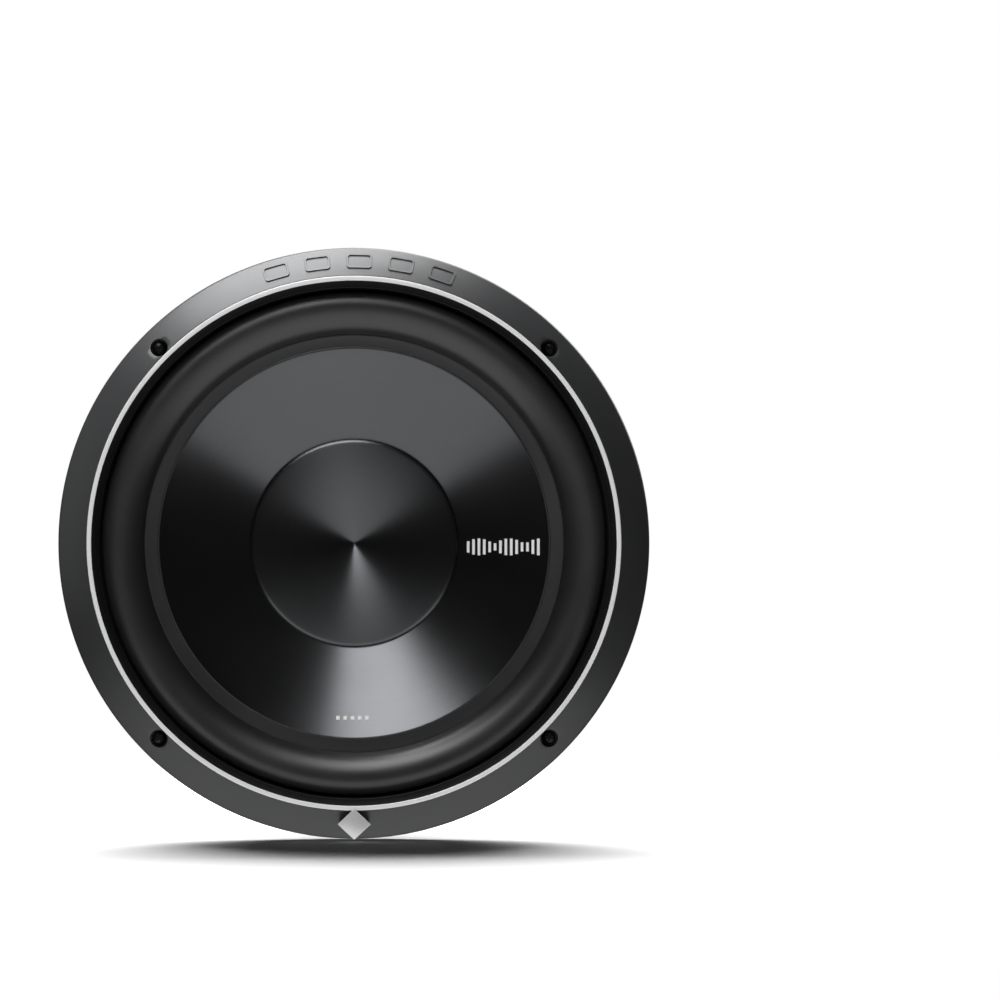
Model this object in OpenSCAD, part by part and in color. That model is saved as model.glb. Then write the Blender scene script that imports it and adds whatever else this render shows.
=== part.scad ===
// Car subwoofer driver, twelve-inch class, with its trim ring and mounting screws in place.
// The driver's axis lies along Y: the front faces -Y and +Z is up. The origin is the centre of
// the mounting plane, where the gasket meets the baffle. Every part below is drawn about its own
// axis with z towards the listener and y up, and facing() turns it into that frame.
// Radii build outwards from the cone, and depths build backwards from the mounting plane.

/* [Cone and dust cap] */
// Diameter of the cone that shows inside the surround
cone_d = 214.2; // [178:0.2:256]
// Lean of the cone's wall from the front plane, in degrees
cone_slope = 25.3; // [22:0.1:28]
// Wall of the spun cone
cone_t = 1.2; // [0.8:0.1:1.6]
// Diameter of the dust cap where it meets the cone
cap_d = 115.4; // [94:0.2:136]
// Wall of the dust cap
cap_t = 1; // [0.6:0.1:1.4]
// How far the dust cap's shoulder stands above its foot
cap_rise = 2.6; // [2:0.1:3.4]
// Radial width of the dust cap's shoulder
cap_shoulder = 3.4; // [2.6:0.1:4.4]
// Depth of the hollow in the dust cap
cap_dish = 9; // [6:0.5:11]

/* [Surround] */
// Width of the flat band that is glued on the cone
band_w = 6.8; // [6:0.1:8.2]
// Width of the half roll
roll_w = 23.7; // [19.6:0.1:28.6]
// Width of the foot that is glued on the flange
foot_w = 5.6; // [4.6:0.1:6.8]
// Thickness of the surround's rubber
rubber_t = 1.5; // [1.2:0.1:1.9]

/* [Trim ring] */
// How much wider the front opening is than the surround, on each side
throat_lean = 6.1; // [5.2:0.1:7.4]
// Width of the bright accent ring
accent_w = 2.5; // [2.1:0.1:3]
// Thickness of the accent ring
accent_t = 1.2; // [1:0.1:1.5]
// Width of the sloping face, seen from the front
face_w = 15.8; // [14.2:0.1:18]
// Height of the sloping face
face_h = 17.5; // [14.5:0.1:21]
// How far the side wall spreads towards the baffle
side_flare = 1; // [0.6:0.1:1.4]
// Height of the side wall
side_h = 9; // [7.6:0.1:11]
// Wall of the moulded trim ring
trim_t = 2.4; // [2:0.1:2.9]
// Height of the ring that clamps the surround
clamp_h = 8; // [6.6:0.1:9.6]
// Width of the badge
badge_w = 18.2; // [15.2:0.1:20]
// Height of the badge
badge_h = 17.1; // [14.2:0.1:18]
// Thickness of the badge plate
badge_t = 0.9; // [0.6:0.1:1.2]

/* [Mounting] */
// Thickness of the gasket under the flange
gasket_t = 1.5; // [1.2:0.1:1.9]
// Thickness of the flange and of the rest of the pressed basket
basket_t = 2; // [1.6:0.1:2.4]
// Gap between the basket and the edge of the hole in the baffle
cutout_gap = 1.2; // [0.9:0.1:1.5]
// Width of the baffle's hole beyond the surround's roll, on each side
cutout_margin = 2.4; // [2:0.1:2.9]
// Height of the straight collar that goes into the baffle's hole
collar_h = 9; // [7.6:0.1:11]
// Number of mounting screws
screw_count = 4; // [4:4:8]
// Diameter of the screws over their threads
screw_d = 4.8; // [4:0.1:5.6]
// Length of the screws under the head
screw_len = 36; // [30:1:40]
// Diameter of the screw heads
head_d = 7.6; // [6.6:0.1:9]
// Height of the screw heads
head_h = 2.9; // [2.4:0.1:3.5]
// Diameter of the wells that the screws sit in
well_d = 9.8; // [9.2:0.1:11.2]

/* [Basket] */
// Depth from the mounting plane to the spider's shelf
shelf_depth = 62; // [56:1:66]
// Depth from the mounting plane to the motor's seat
seat_depth = 94; // [90:1:106]
// Number of spokes
spoke_count = 8; // [8:8:8]
// Width of a spoke
spoke_w = 17; // [14:0.5:20]
// Radius of the windows' corners
window_round = 6; // [4:0.5:7]

/* [Spider] */
// Diameter of the spider
spider_d = 168; // [150:1:184]
// Number of rolls in the spider
spider_rolls = 5; // [4:1:6]
// Height of the spider's rolls above its middle
spider_wave = 3; // [2:0.1:3.6]
// Thickness of the spider's cloth
cloth_t = 0.8; // [0.6:0.1:1]

/* [Motor] */
// Inner diameter of the voice coil former
former_d = 63.8; // [54:0.1:72]
// Wall of the former
former_t = 0.4; // [0.3:0.05:0.5]
// Thickness of one voice coil winding
winding_t = 0.65; // [0.5:0.05:0.8]
// Height of the windings
winding_h = 37; // [31:1:40]
// Radial gap between the windings and the top plate
coil_gap = 0.6; // [0.5:0.05:0.8]
// Diameter of the magnets
magnet_d = 160; // [150:1:192]
// Thickness of one magnet
magnet_t = 22; // [20:0.5:26]
// Thickness of the top plate
plate_t = 10; // [8:0.5:12]
// Thickness of the back plate
back_t = 13; // [11:0.5:15.5]
// Height of the raised middle of the back plate
bump_h = 4; // [3:0.5:5]
// Diameter of the vent through the pole
vent_d = 28; // [23:0.5:33]
// Wall of the rubber boot over the magnets
boot_t = 4.6; // [3.8:0.1:5.6]

/* [Terminals] */
// Width of a terminal block
block_w = 42; // [40:0.5:46]
// Depth of a terminal block, along the buttons
block_l = 20; // [19:0.5:24]
// Thickness of a terminal block
block_h = 14; // [13:0.5:15]
// Diameter of a push button
button_d = 10; // [9:0.1:10.8]
// How far a button can be pressed
button_travel = 3.5; // [2.9:0.1:4.2]
// Diameter of the holes for the wires
wire_d = 4.4; // [3.6:0.1:5.2]
// Thickness of the flexible leads to the voice coils
lead_d = 1.8; // [1.5:0.1:2.2]

/* [Hidden] */
$fn = 64;

fit_gap = 0.05;      // between pieces that sit in each other
seam = 0.2;          // between pieces that lie on each other and may be prised apart
glue = 0.3;          // glue line between a soft piece and a moving one
hole_gap = 0.5;      // between a screw and the hole that it passes through
over = 1;            // how far a cutter runs past what it cuts

// Radii, from the cone outwards
cone_r = cone_d / 2;
band_r = cone_r + band_w;
roll_r = band_r + roll_w;
foot_r = roll_r + foot_w;
front_r = roll_r + throat_lean;
accent_r = front_r + accent_w;
edge_r = accent_r + face_w;
outer_r = edge_r + side_flare;
flange_r = outer_r - trim_t - seam - side_flare / 2;
cutout_r = roll_r + cutout_margin;
spigot_r = cutout_r - cutout_gap;
well_wall = 0.15;    // between a well and the accent ring
screw_r = accent_r + well_wall + well_d / 2;

// Heights, from the mounting plane forwards
flange_z = gasket_t + basket_t;
foot_z = flange_z + fit_gap;
clamp_z = foot_z + rubber_t + fit_gap;
clamp_top = clamp_z + clamp_h;
skirt_z = clamp_top + seam;
front_z = side_h + face_h;
land_z = front_z - accent_t;
land_w = 0.4;        // flat outside the accent ring, before the face slopes away
well_floor = 8.2;    // thickness of the trim ring under a screw head
head_z = flange_z + seam + well_floor;
trim_gap = 0.3;      // between the trim ring's edge and the baffle

// Depths, from the mounting plane backwards
shelf_z = -shelf_depth;
seat_z = -seat_depth;
magnet_z = seat_z - plate_t;
yoke_z = magnet_z - 2 * magnet_t;
back_z = yoke_z - back_t;
rear_z = back_z - bump_h;

// Throat of the trim ring and of the clamp ring, one straight line from the surround forwards
throat_gap = 0.7;    // between the roll's root and the clamp ring
throat_k = (front_r - roll_r - throat_gap) / (land_z - clamp_z);
function throat_r(z) = roll_r + throat_gap + throat_k * (z - clamp_z);

// Sloping face of the trim ring: a shallow arch between the accent ring's land and the edge
face_steps = 12;
face_crown = 0.5;    // how far the arch stands above the straight line
function face_point(s) = [
  accent_r + land_w + s * (edge_r - accent_r - land_w) + face_crown * sin(180 * s),
  land_z + s * (side_h - land_z) + face_crown * sin(180 * s)
];

// Cone wall
cone_k = tan(cone_slope);
cone_top = foot_z - glue;
lap = 1;             // how far the surround's band runs past the flat rim on each side
cone_edge = cone_r - lap;
function cone_z(r) = cone_top - (cone_edge - r) * cone_k;
cone_wall_h = cone_t / cos(cone_slope);

// Voice coil and what moves in the gap
former_r = former_d / 2;
former_out = former_r + former_t;
winding_r = former_out + fit_gap;
winding_mid = winding_r + winding_t;
winding_out = winding_mid + fit_gap + winding_t;
plate_bore = winding_out + coil_gap;
pole_gap = 0.5;
pole_r = former_r - pole_gap;
sleeve_t = 1;
neck_in = former_out + fit_gap;
neck_h = 6;
neck_z = cone_z(neck_in + cone_t);
winding_z = seat_z - plate_t / 2 - winding_h / 2;
former_short = 0.5;  // how far the former stays below the cone's neck
former_top = neck_z - former_short;
neck_low = neck_z - cone_wall_h - neck_h;

// Basket skirt between the straight collar and the spider's shelf
spider_r = spider_d / 2;
shelf_rim = 9;       // width of the shelf beyond the spider
sill_r = spider_r + shelf_rim;
shelf_ledge = 8;     // width of the shelf under the spider's glued edge
neck_r = spider_r - shelf_ledge;
coil_room = 12;      // free width round the former at the motor's seat
seat_in = former_out + coil_room;
skirt_k = (spigot_r - sill_r) / (shelf_depth + basket_t - collar_h);
skirt_t = basket_t * sqrt(1 + skirt_k * skirt_k);
function skirt_r(z) = sill_r + skirt_k * (z - shelf_z + basket_t);
window_margin = 6;
sill_h = 5;          // height of the rim between the shelf and the windows
window_top = -collar_h - window_margin;
window_low = shelf_z + sill_h;
function window_half(z) =
  skirt_r(z) * sin(180 / spoke_count - asin(spoke_w / 2 / skirt_r(z)));

// Small fastenings
motor_bolt_count = 8;
motor_bolt_r = (seat_in + neck_r) / 2;
motor_bolt_d = 5;
motor_head_d = 9;
motor_head_h = 2.4;
bolt_floor = 1;      // steel left under the motor bolts' holes
plate_inset = 4;     // how much smaller than the magnets the steel plates are
pole_rise = 2;       // how far the pole stands above the motor's seat
terminal_screw_d = 3;
terminal_head_d = 5.4;
terminal_head_h = 1.8;
terminal_screw_in = 5;      // from the front of the block to its screws
terminal_screw_side = 3.4;  // from the side of the block to its screws
terminal_bite = 4;          // depth of the screws' holes in the block

// Terminals, which stand on a tab in the left and right windows
tab_side = 3;        // how far the tab is wider than the block on each side
tab_edge = 1;        // how far it is longer at each end
tab_root = 6;        // how far it reaches in past the basket's skirt
tab_w = block_w + 2 * tab_side;
tab_x = skirt_r(window_low) - tab_root;
tab_len = block_l + 2 * tab_edge;
block_x = tab_x + tab_edge;
block_round = 2;
block_z = window_low + fit_gap;
button_y = block_w / 4;
button_z = block_z + block_h / 2;
button_out = 6;      // how far a button stands out at rest
button_guide = 8;    // how much of a button is in its bore
button_wall = 2;     // wall behind the spring
button_len = button_out + button_guide;
button_x = block_x + block_l - button_guide;
spring_len = button_x - block_x - button_wall - 2 * fit_gap;
wire_x = button_x + button_guide / 2 - button_travel / 2;
solder_len = 10;
solder_w = 6;
solder_t = 0.8;
lead_z = button_z + 1;

// Points round the corners of an outline: every corner of pts becomes an arc of radius r
corner_steps = 5;
function unit(v) = v / norm(v);
function corner(a, p, b, r) =
  let (
    u = unit(a - p),
    v = unit(b - p),
    half = acos(u * v) / 2,
    middle = p + unit(u + v) * r / sin(half),
    from = p + u * r / tan(half) - middle,
    to = p + v * r / tan(half) - middle
  )
  [for (i = [0:corner_steps])
    middle + r * unit(from * (1 - i / corner_steps) + to * (i / corner_steps))];
function rounded(pts, r) = [
  for (i = [0:len(pts) - 1])
    each corner(pts[(i + len(pts) - 1) % len(pts)], pts[i], pts[(i + 1) % len(pts)], r)
];

// Turns a part from its own axis into the driver's frame
module facing() {
  rotate([90, 0, 0]) children();
}

// Repeats a part at every mounting screw
module at_screws() {
  for (i = [0:screw_count - 1])
    rotate([0, 0, (i + 0.5) * 360 / screw_count])
      translate([screw_r, 0, 0]) children();
}

// Ring with a square section
module ring(r_in, r_out, z, h) {
  translate([0, 0, z])
    difference() {
      cylinder(r = r_out, h = h, $fn = 128);
      translate([0, 0, -over]) cylinder(r = r_in, h = h + 2 * over, $fn = 128);
    }
}

// Clearance hole for a mounting screw
module screw_hole(z, h) {
  translate([0, 0, z]) cylinder(d = screw_d + 2 * hole_gap, h = h);
}

module basket_shell() {
  inner_top = shelf_z - basket_t + (spigot_r - basket_t + skirt_t - sill_r) / skirt_k;
  rotate_extrude($fn = 128)
    polygon([
      [flange_r, gasket_t],
      [spigot_r, gasket_t],
      [spigot_r, -collar_h],
      [sill_r, shelf_z - basket_t],
      [neck_r, shelf_z - basket_t],
      [neck_r, seat_z],
      [seat_in, seat_z],
      [seat_in, seat_z + basket_t],
      [neck_r - basket_t, seat_z + basket_t],
      [neck_r - basket_t, shelf_z],
      [skirt_r(shelf_z) - skirt_t, shelf_z],
      [spigot_r - basket_t, inner_top],
      [spigot_r - basket_t, flange_z],
      [flange_r, flange_z]
    ]);
}

module basket_windows() {
  top_half = window_half(window_top);
  low_half = window_half(window_low);
  outline = rounded([
    [-top_half, window_top],
    [-low_half, window_low],
    [low_half, window_low],
    [top_half, window_top]
  ], window_round);
  for (i = [0:spoke_count - 1])
    rotate([0, 0, i * 360 / spoke_count])
      translate([neck_r, 0, 0])
        rotate([90, 0, 90])
          linear_extrude(spigot_r - neck_r + over) polygon(outline);
}

module neck_vents() {
  vent_w = 16;
  vent_round = 3;
  vent_margin = 6;
  vent_low = seat_z + basket_t + vent_margin;
  vent_top = shelf_z - basket_t - vent_margin;
  for (i = [0:spoke_count - 1])
    rotate([0, 0, i * 360 / spoke_count])
      translate([seat_in, 0, 0])
        rotate([90, 0, 90])
          linear_extrude(neck_r - seat_in + over)
            polygon(rounded([
              [-vent_w / 2, vent_top],
              [-vent_w / 2, vent_low],
              [vent_w / 2, vent_low],
              [vent_w / 2, vent_top]
            ], vent_round));
}

// Tabs for the two terminal blocks, bent out of the basket at the foot of a window
module terminal_tabs_of_basket() {
  for (side = [0, 180])
    rotate([0, 0, side])
      translate([tab_x, -tab_w / 2, window_low - basket_t])
        cube([tab_len, tab_w, basket_t]);
}

module at_terminal_screws() {
  for (side = [0, 180], y = [-1, 1])
    rotate([0, 0, side])
      translate([block_x + block_l - terminal_screw_in, y * (block_w / 2 - terminal_screw_side), 0])
        children();
}

module basket() {
  color("dimgray") facing()
    difference() {
      union() {
        difference() {
          basket_shell();
          basket_windows();
          neck_vents();
        }
        terminal_tabs_of_basket();
      }
      at_screws() screw_hole(gasket_t - over, basket_t + 2 * over);
      for (i = [0:motor_bolt_count - 1])
        rotate([0, 0, (i + 0.5) * 360 / motor_bolt_count])
          translate([motor_bolt_r, 0, seat_z - over])
            cylinder(d = motor_bolt_d + 2 * fit_gap, h = basket_t + 2 * over);
      at_terminal_screws()
        translate([0, 0, window_low - basket_t - over])
          cylinder(d = terminal_screw_d + 2 * fit_gap, h = basket_t + 2 * over);
    }
}

module mounting_gasket() {
  color("black") facing()
    difference() {
      ring(cutout_r + hole_gap, flange_r, 0, gasket_t);
      at_screws() screw_hole(-over, gasket_t + 2 * over);
    }
}

module trim_body() {
  arch = [for (i = [face_steps:-1:0]) face_point(i / face_steps)];
  rotate_extrude($fn = 128)
    polygon(concat(
      [[flange_r + seam, trim_gap], [outer_r, trim_gap]],
      arch,
      [
        [front_r, land_z],
        [throat_r(skirt_z), skirt_z],
        [foot_r + seam, skirt_z],
        [foot_r + seam, flange_z + seam],
        [flange_r + seam, flange_z + seam]
      ]
    ));
}

// Hollow behind the sloping face, open towards the flange
module trim_hollow() {
  lean = (edge_r - accent_r) / face_h;
  inset = trim_t * sqrt(1 + lean * lean);
  hollow_in = foot_r + seam + trim_t;
  hollow_out = flange_r;
  function roof_z(r) = land_z - (r + inset - accent_r - land_w) / lean;
  rotate_extrude($fn = 128)
    polygon([
      [hollow_in, flange_z - over],
      [hollow_out, flange_z - over],
      [hollow_out, roof_z(hollow_out)],
      [hollow_in, roof_z(hollow_in)]
    ]);
}

badge_set = 1.4;     // from the accent ring's inner edge to the badge's upper tip
badge_r = front_r + badge_h / 2 + badge_set;
badge_round = 0.4;
module lozenge(w, h, r) {
  polygon(rounded([[-w / 2, 0], [0, -h / 2], [w / 2, 0], [0, h / 2]], r));
}

module trim_ring() {
  pedestal_inset = 0.5;
  pedestal_round = 0.6;
  color("#3b3d3f") facing()
    difference() {
      union() {
        difference() {
          trim_body();
          difference() {
            trim_hollow();
            at_screws() translate([0, 0, flange_z]) cylinder(d = well_d + 2 * trim_t, h = front_z);
          }
        }
        difference() {
          translate([0, -badge_r, side_h])
            linear_extrude(front_z - side_h)
              lozenge(badge_w - 2 * pedestal_inset, badge_h - 2 * pedestal_inset, pedestal_round);
          cylinder(r = accent_r + seam, h = front_z + over, $fn = 128);
        }
      }
      at_screws() {
        translate([0, 0, head_z]) cylinder(d = well_d, h = front_z);
        screw_hole(0, front_z);
      }
    }
}

module accent_ring() {
  bevel = 0.25;
  color("silver") facing()
    rotate_extrude($fn = 128)
      polygon([
        [front_r, land_z + fit_gap],
        [accent_r, land_z + fit_gap],
        [accent_r, front_z - bevel],
        [accent_r - bevel, front_z],
        [front_r + bevel, front_z],
        [front_r, front_z - bevel]
      ]);
}

module badge_plate() {
  color("whitesmoke") facing()
    translate([0, -badge_r, front_z + fit_gap])
      linear_extrude(badge_t) lozenge(badge_w, badge_h, badge_round);
}

// Pan head with a cross recess; the shank is thinner where it passes through the flange
module mounting_screws() {
  tip_h = 4;
  neck_d = screw_d - 1;
  tip_d = 0.4;
  recess_w = 1.1;
  recess_l = 4.3;
  recess_h = 1.6;
  recess_turn = 20;
  thread_top = -0.3;
  crown_h = 1.2;
  crown_edge = 1.45;
  rim_h = head_h - crown_h;
  color("#1c1c1e") facing() at_screws()
    difference() {
      union() {
        translate([0, 0, head_z]) cylinder(d = head_d, h = rim_h);
        translate([0, 0, head_z + rim_h])
          cylinder(d1 = head_d, d2 = head_d - 2 * crown_edge, h = crown_h);
        translate([0, 0, thread_top - over]) cylinder(d = neck_d, h = head_z - thread_top + over);
        translate([0, 0, head_z - screw_len + tip_h])
          cylinder(d = screw_d, h = screw_len - tip_h - head_z + thread_top);
        translate([0, 0, head_z - screw_len])
          cylinder(d1 = tip_d, d2 = screw_d, h = tip_h);
      }
      for (a = [0, 90])
        rotate([0, 0, a + recess_turn])
          translate([-recess_l / 2, -recess_w / 2, head_z + head_h - recess_h])
            cube([recess_l, recess_w, recess_h + over]);
    }
}

module surround_clamp_ring() {
  color("#161616") facing()
    rotate_extrude($fn = 128)
      polygon([
        [throat_r(clamp_z), clamp_z],
        [foot_r, clamp_z],
        [foot_r, clamp_top],
        [throat_r(clamp_top), clamp_top]
      ]);
}

module surround() {
  color("#202122") facing()
    rotate_extrude($fn = 128) {
      translate([band_r + roll_w / 2, foot_z])
        difference() {
          circle(d = roll_w);
          circle(d = roll_w - 2 * rubber_t);
          translate([-roll_w, -2 * roll_w]) square(2 * roll_w);
        }
      translate([roll_r - rubber_t, foot_z]) square([foot_w + rubber_t, rubber_t]);
      translate([cone_r, foot_z]) square([band_w + rubber_t, rubber_t]);
    }
}

module cone() {
  rim_r = band_r - lap;
  neck_out = neck_in + cone_t;
  color("#18191b") facing()
    rotate_extrude($fn = 128)
      polygon([
        [cone_edge, cone_top],
        [rim_r, cone_top],
        [rim_r, cone_top - cone_t],
        [cone_edge + cone_t * cone_k, cone_top - cone_t],
        [neck_out, cone_z(neck_out) - cone_wall_h],
        [neck_out, neck_low],
        [neck_in, neck_low],
        [neck_in, neck_z],
        [neck_out, neck_z]
      ]);
}

// Outline of the dust cap's front: a round shoulder, then a hollow that falls to the middle
cap_steps = 16;
shoulder_steps = 6;
cap_r = cap_d / 2;
cap_z = cone_z(cap_r) + fit_gap;
hollow_power = 1.6;
function cap_shoulder_point(i, t) = [
  cap_r - cap_shoulder + (cap_shoulder - t) * cos(90 * i / shoulder_steps),
  cap_z + (cap_rise - t) * sin(90 * i / shoulder_steps)
];
function cap_hollow_point(i, t) =
  let (r = (cap_r - cap_shoulder) * (1 - i / cap_steps))
  [r, cap_z + cap_rise - t - cap_dish * pow(i / cap_steps, hollow_power)];

module dust_cap() {
  front = concat(
    [for (i = [0:shoulder_steps]) cap_shoulder_point(i, 0)],
    [for (i = [1:cap_steps]) cap_hollow_point(i, 0)]
  );
  back = concat(
    [for (i = [cap_steps:-1:1]) cap_hollow_point(i, cap_t)],
    [for (i = [shoulder_steps:-1:0]) cap_shoulder_point(i, cap_t)]
  );
  color("#18191b") facing()
    rotate_extrude($fn = 128) polygon(concat(front, back));
}

module former() {
  color("tan") facing()
    ring(former_r, former_out, winding_z, former_top - winding_z);
}

module winding_inner() {
  color("peru") facing() ring(winding_r, winding_mid, winding_z, winding_h);
}

module winding_outer() {
  color("chocolate") facing() ring(winding_mid + fit_gap, winding_out, winding_z, winding_h);
}

// Collar on the former, which the spider is glued to
collar_t = 2;
collar_len = 8;
spider_z = shelf_z + fit_gap + cloth_t / 2;
module former_collar() {
  color("black") facing()
    ring(former_out + fit_gap, former_out + collar_t, spider_z - collar_len / 2, collar_len);
}

module spider() {
  cuff_r = former_out + collar_t + glue;
  wave_margin = 1;
  wave_in = cuff_r + cloth_t + wave_margin;
  wave_out = neck_r - basket_t - wave_margin;
  steps = 8 * spider_rolls;
  function wave(i, side) = [
    wave_in + (wave_out - wave_in) * i / steps,
    spider_z + side * cloth_t / 2 + spider_wave * sin(360 * spider_rolls * i / steps)
  ];
  color("#c9a24a") facing()
    rotate_extrude($fn = 128)
      polygon(concat(
        [[cuff_r, spider_z - cloth_t / 2]],
        [for (i = [0:steps]) wave(i, -1)],
        [
          [spider_r, spider_z - cloth_t / 2],
          [spider_r, spider_z + cloth_t / 2]
        ],
        [for (i = [steps:-1:0]) wave(i, 1)],
        [
          [cuff_r + cloth_t, spider_z + cloth_t / 2],
          [cuff_r + cloth_t, spider_z + collar_len / 2],
          [cuff_r, spider_z + collar_len / 2]
        ]
      ));
}

module top_plate() {
  bolt_depth = plate_t - bolt_floor;
  color("#2a2a2c") facing()
    difference() {
      ring(plate_bore, magnet_d / 2 - plate_inset, seat_z - plate_t, plate_t - fit_gap);
      for (i = [0:motor_bolt_count - 1])
        rotate([0, 0, (i + 0.5) * 360 / motor_bolt_count])
          translate([motor_bolt_r, 0, seat_z - bolt_depth])
            cylinder(d = motor_bolt_d + 2 * fit_gap, h = bolt_depth + over);
    }
}

module motor_bolts() {
  bolt_short = 1;    // how far a bolt ends above the bottom of its hole
  bolt_len = plate_t - bolt_floor - bolt_short;
  color("silver") facing()
    for (i = [0:motor_bolt_count - 1])
      rotate([0, 0, (i + 0.5) * 360 / motor_bolt_count])
        translate([motor_bolt_r, 0, seat_z + basket_t + fit_gap]) {
          cylinder(d = motor_head_d, h = motor_head_h, $fn = 6);
          translate([0, 0, -bolt_len - basket_t])
            cylinder(d = motor_bolt_d, h = bolt_len + basket_t + over);
        }
}

magnet_gap = 14;     // how much wider than the plate's bore the magnets' holes are, all round
magnet_in = plate_bore + magnet_gap;
module magnet_front() {
  color("#3a3a3a") facing()
    ring(magnet_in, magnet_d / 2, magnet_z - magnet_t, magnet_t - fit_gap);
}

module magnet_rear() {
  color("#333333") facing()
    ring(magnet_in, magnet_d / 2, yoke_z, magnet_t - fit_gap);
}

yoke_r = magnet_d / 2 - plate_inset;
bump_r = 41.8;
screen_edge = 4;     // width of the screen's seat round the vent
screen_r = vent_d / 2 + screen_edge;
screen_seat = 2;
screen_t = 0.8;
module yoke() {
  pole_top = seat_z + pole_rise;
  pole_core = pole_r - sleeve_t - fit_gap;
  bevel = 3;
  color("#242426") facing()
    rotate_extrude($fn = 128)
      polygon([
        [vent_d / 2, pole_top],
        [pole_core, pole_top],
        [pole_core, yoke_z - fit_gap],
        [yoke_r, yoke_z - fit_gap],
        [yoke_r, back_z + bevel],
        [yoke_r - bevel, back_z],
        [bump_r + bump_h, back_z],
        [bump_r, rear_z],
        [screen_r + fit_gap, rear_z],
        [screen_r + fit_gap, rear_z + screen_seat],
        [vent_d / 2, rear_z + screen_seat]
      ]);
}

module shorting_sleeve() {
  sleeve_below = 20;   // how far the sleeve reaches below the top plate
  sleeve_h = plate_t + pole_rise + sleeve_below;
  color("#b87333") facing()
    ring(pole_r - sleeve_t, pole_r, seat_z + pole_rise - sleeve_h, sleeve_h);
}

// Rubber boot over both magnets and the edge of the back plate
module magnet_boot() {
  inner_r = magnet_d / 2 + seam;
  outer = magnet_d / 2 + boot_t;
  hem = yoke_r + seam;
  lip = 3;             // how far the boot reaches up round the top plate
  chamfer_w = 2;
  chamfer_h = 3;
  hem_t = 2.4;
  hem_rise = 3.5;      // how far the boot's hem stays above the back of the yoke
  front = magnet_z + lip;
  color("#1a1a1a") facing()
    rotate_extrude($fn = 128)
      polygon([
        [inner_r, front],
        [outer - chamfer_w, front],
        [outer, front - chamfer_h],
        [outer, yoke_z],
        [hem + hem_t, back_z + hem_rise],
        [hem, back_z + hem_rise],
        [hem, yoke_z - seam],
        [inner_r, yoke_z - seam]
      ]);
}

module vent_screen() {
  color("dimgray") facing()
    translate([0, 0, rear_z + fit_gap]) cylinder(r = screen_r, h = screen_t, $fn = 96);
}

// One terminal block with the bores for two buttons and, across them, the holes for the wires
module terminal_block(side) {
  color("#151515") facing() rotate([0, 0, side])
    difference() {
      translate([block_x, 0, block_z])
        linear_extrude(block_h)
          polygon(rounded([
            [0, -block_w / 2], [block_l, -block_w / 2], [block_l, block_w / 2], [0, block_w / 2]
          ], block_round));
      for (y = [-1, 1]) {
        translate([block_x + button_wall, y * button_y, button_z])
          rotate([0, 90, 0]) cylinder(d = button_d + 2 * fit_gap, h = block_l);
        translate([wire_x, y * (button_y + block_w / 4), button_z])
          rotate([90, 0, 0]) cylinder(d = wire_d, h = block_w / 2, center = true);
        translate([
          block_x + block_l - terminal_screw_in,
          y * (block_w / 2 - terminal_screw_side),
          block_z - over
        ])
          cylinder(d = terminal_screw_d + 2 * fit_gap, h = terminal_bite + over);
      }
    }
}

module terminal_screws() {
  color("silver") facing() at_terminal_screws() {
    translate([0, 0, window_low - basket_t - fit_gap - terminal_head_h])
      cylinder(d = terminal_head_d, h = terminal_head_h);
    translate([0, 0, window_low - basket_t - fit_gap - terminal_head_h])
      cylinder(d = terminal_screw_d, h = terminal_head_h + basket_t + 3);
  }
}

module terminal_tabs(side) {
  color("gold") facing() rotate([0, 0, side])
    for (y = [-1, 1])
      translate([block_x - solder_len - fit_gap, y * button_y - solder_w / 2, lead_z - solder_t / 2])
        cube([solder_len, solder_w, solder_t]);
}

// A push button with the cross hole that the bared wire goes through
module button(side, y) {
  shade = y > 0 ? "firebrick" : "#202020";
  color(shade) facing() rotate([0, 0, side])
    difference() {
      translate([button_x, y * button_y, button_z])
        rotate([0, 90, 0]) cylinder(d = button_d, h = button_len);
      translate([wire_x + button_travel, y * button_y, button_z])
        rotate([90, 0, 0]) cylinder(d = wire_d, h = button_d + 2 * over, center = true);
    }
}

module button_spring(side, y) {
  wire = 1;
  spring_gap = 0.6;
  spring_r = button_d / 2 - spring_gap;
  color("silver") facing() rotate([0, 0, side])
    translate([block_x + button_wall + fit_gap, y * button_y, button_z])
      rotate([0, 90, 0]) ring(spring_r - wire, spring_r, 0, spring_len);
}

// Route of a flexible lead, from its solder tab to the former, as fractions of the way in and
// as heights above the straight line. It ends midway between the cone's neck and the collar, and
// its sideways place closes in on the former.
lead_route = [
  [0, 0], [0.08, 0.5], [0.18, 2.4], [0.3, 4.9], [0.43, 6.2], [0.56, 5], [0.68, 2.8],
  [0.79, 1], [0.88, 0.2], [0.95, 0], [1, 0]
];
lead_sides = 8;
lead_start = block_x - solder_len - 2 * fit_gap;
lead_gap = 0.4;      // between a lead's middle and the former where it is soldered on
lead_end_r = former_out + lead_gap;
lead_end_z = (neck_low + spider_z + collar_len / 2) / 2;
lead_end_y = 7;
lead_end_x = sqrt(lead_end_r * lead_end_r - lead_end_y * lead_end_y);
function lead_point(i) =
  let (s = lead_route[i][0])
  [
    lead_start + s * (lead_end_x - lead_start),
    button_y + s * s * (lead_end_y - button_y),
    lead_z + s * (lead_end_z - lead_z) + lead_route[i][1]
  ];
function lead_ring(i) =
  let (
    last = len(lead_route) - 1,
    way = unit(lead_point(min(i + 1, last)) - lead_point(max(i - 1, 0))),
    across = i == 0 ? [0, -1, 0] : unit(cross([0, 0, 1], way)),
    up = i == 0 ? [0, 0, 1] : cross(way, across)
  )
  [for (k = [0:lead_sides - 1])
    lead_point(i) + lead_d / 2 * (
      across * cos(360 * k / lead_sides) + up * sin(360 * k / lead_sides)
    )];

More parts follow.
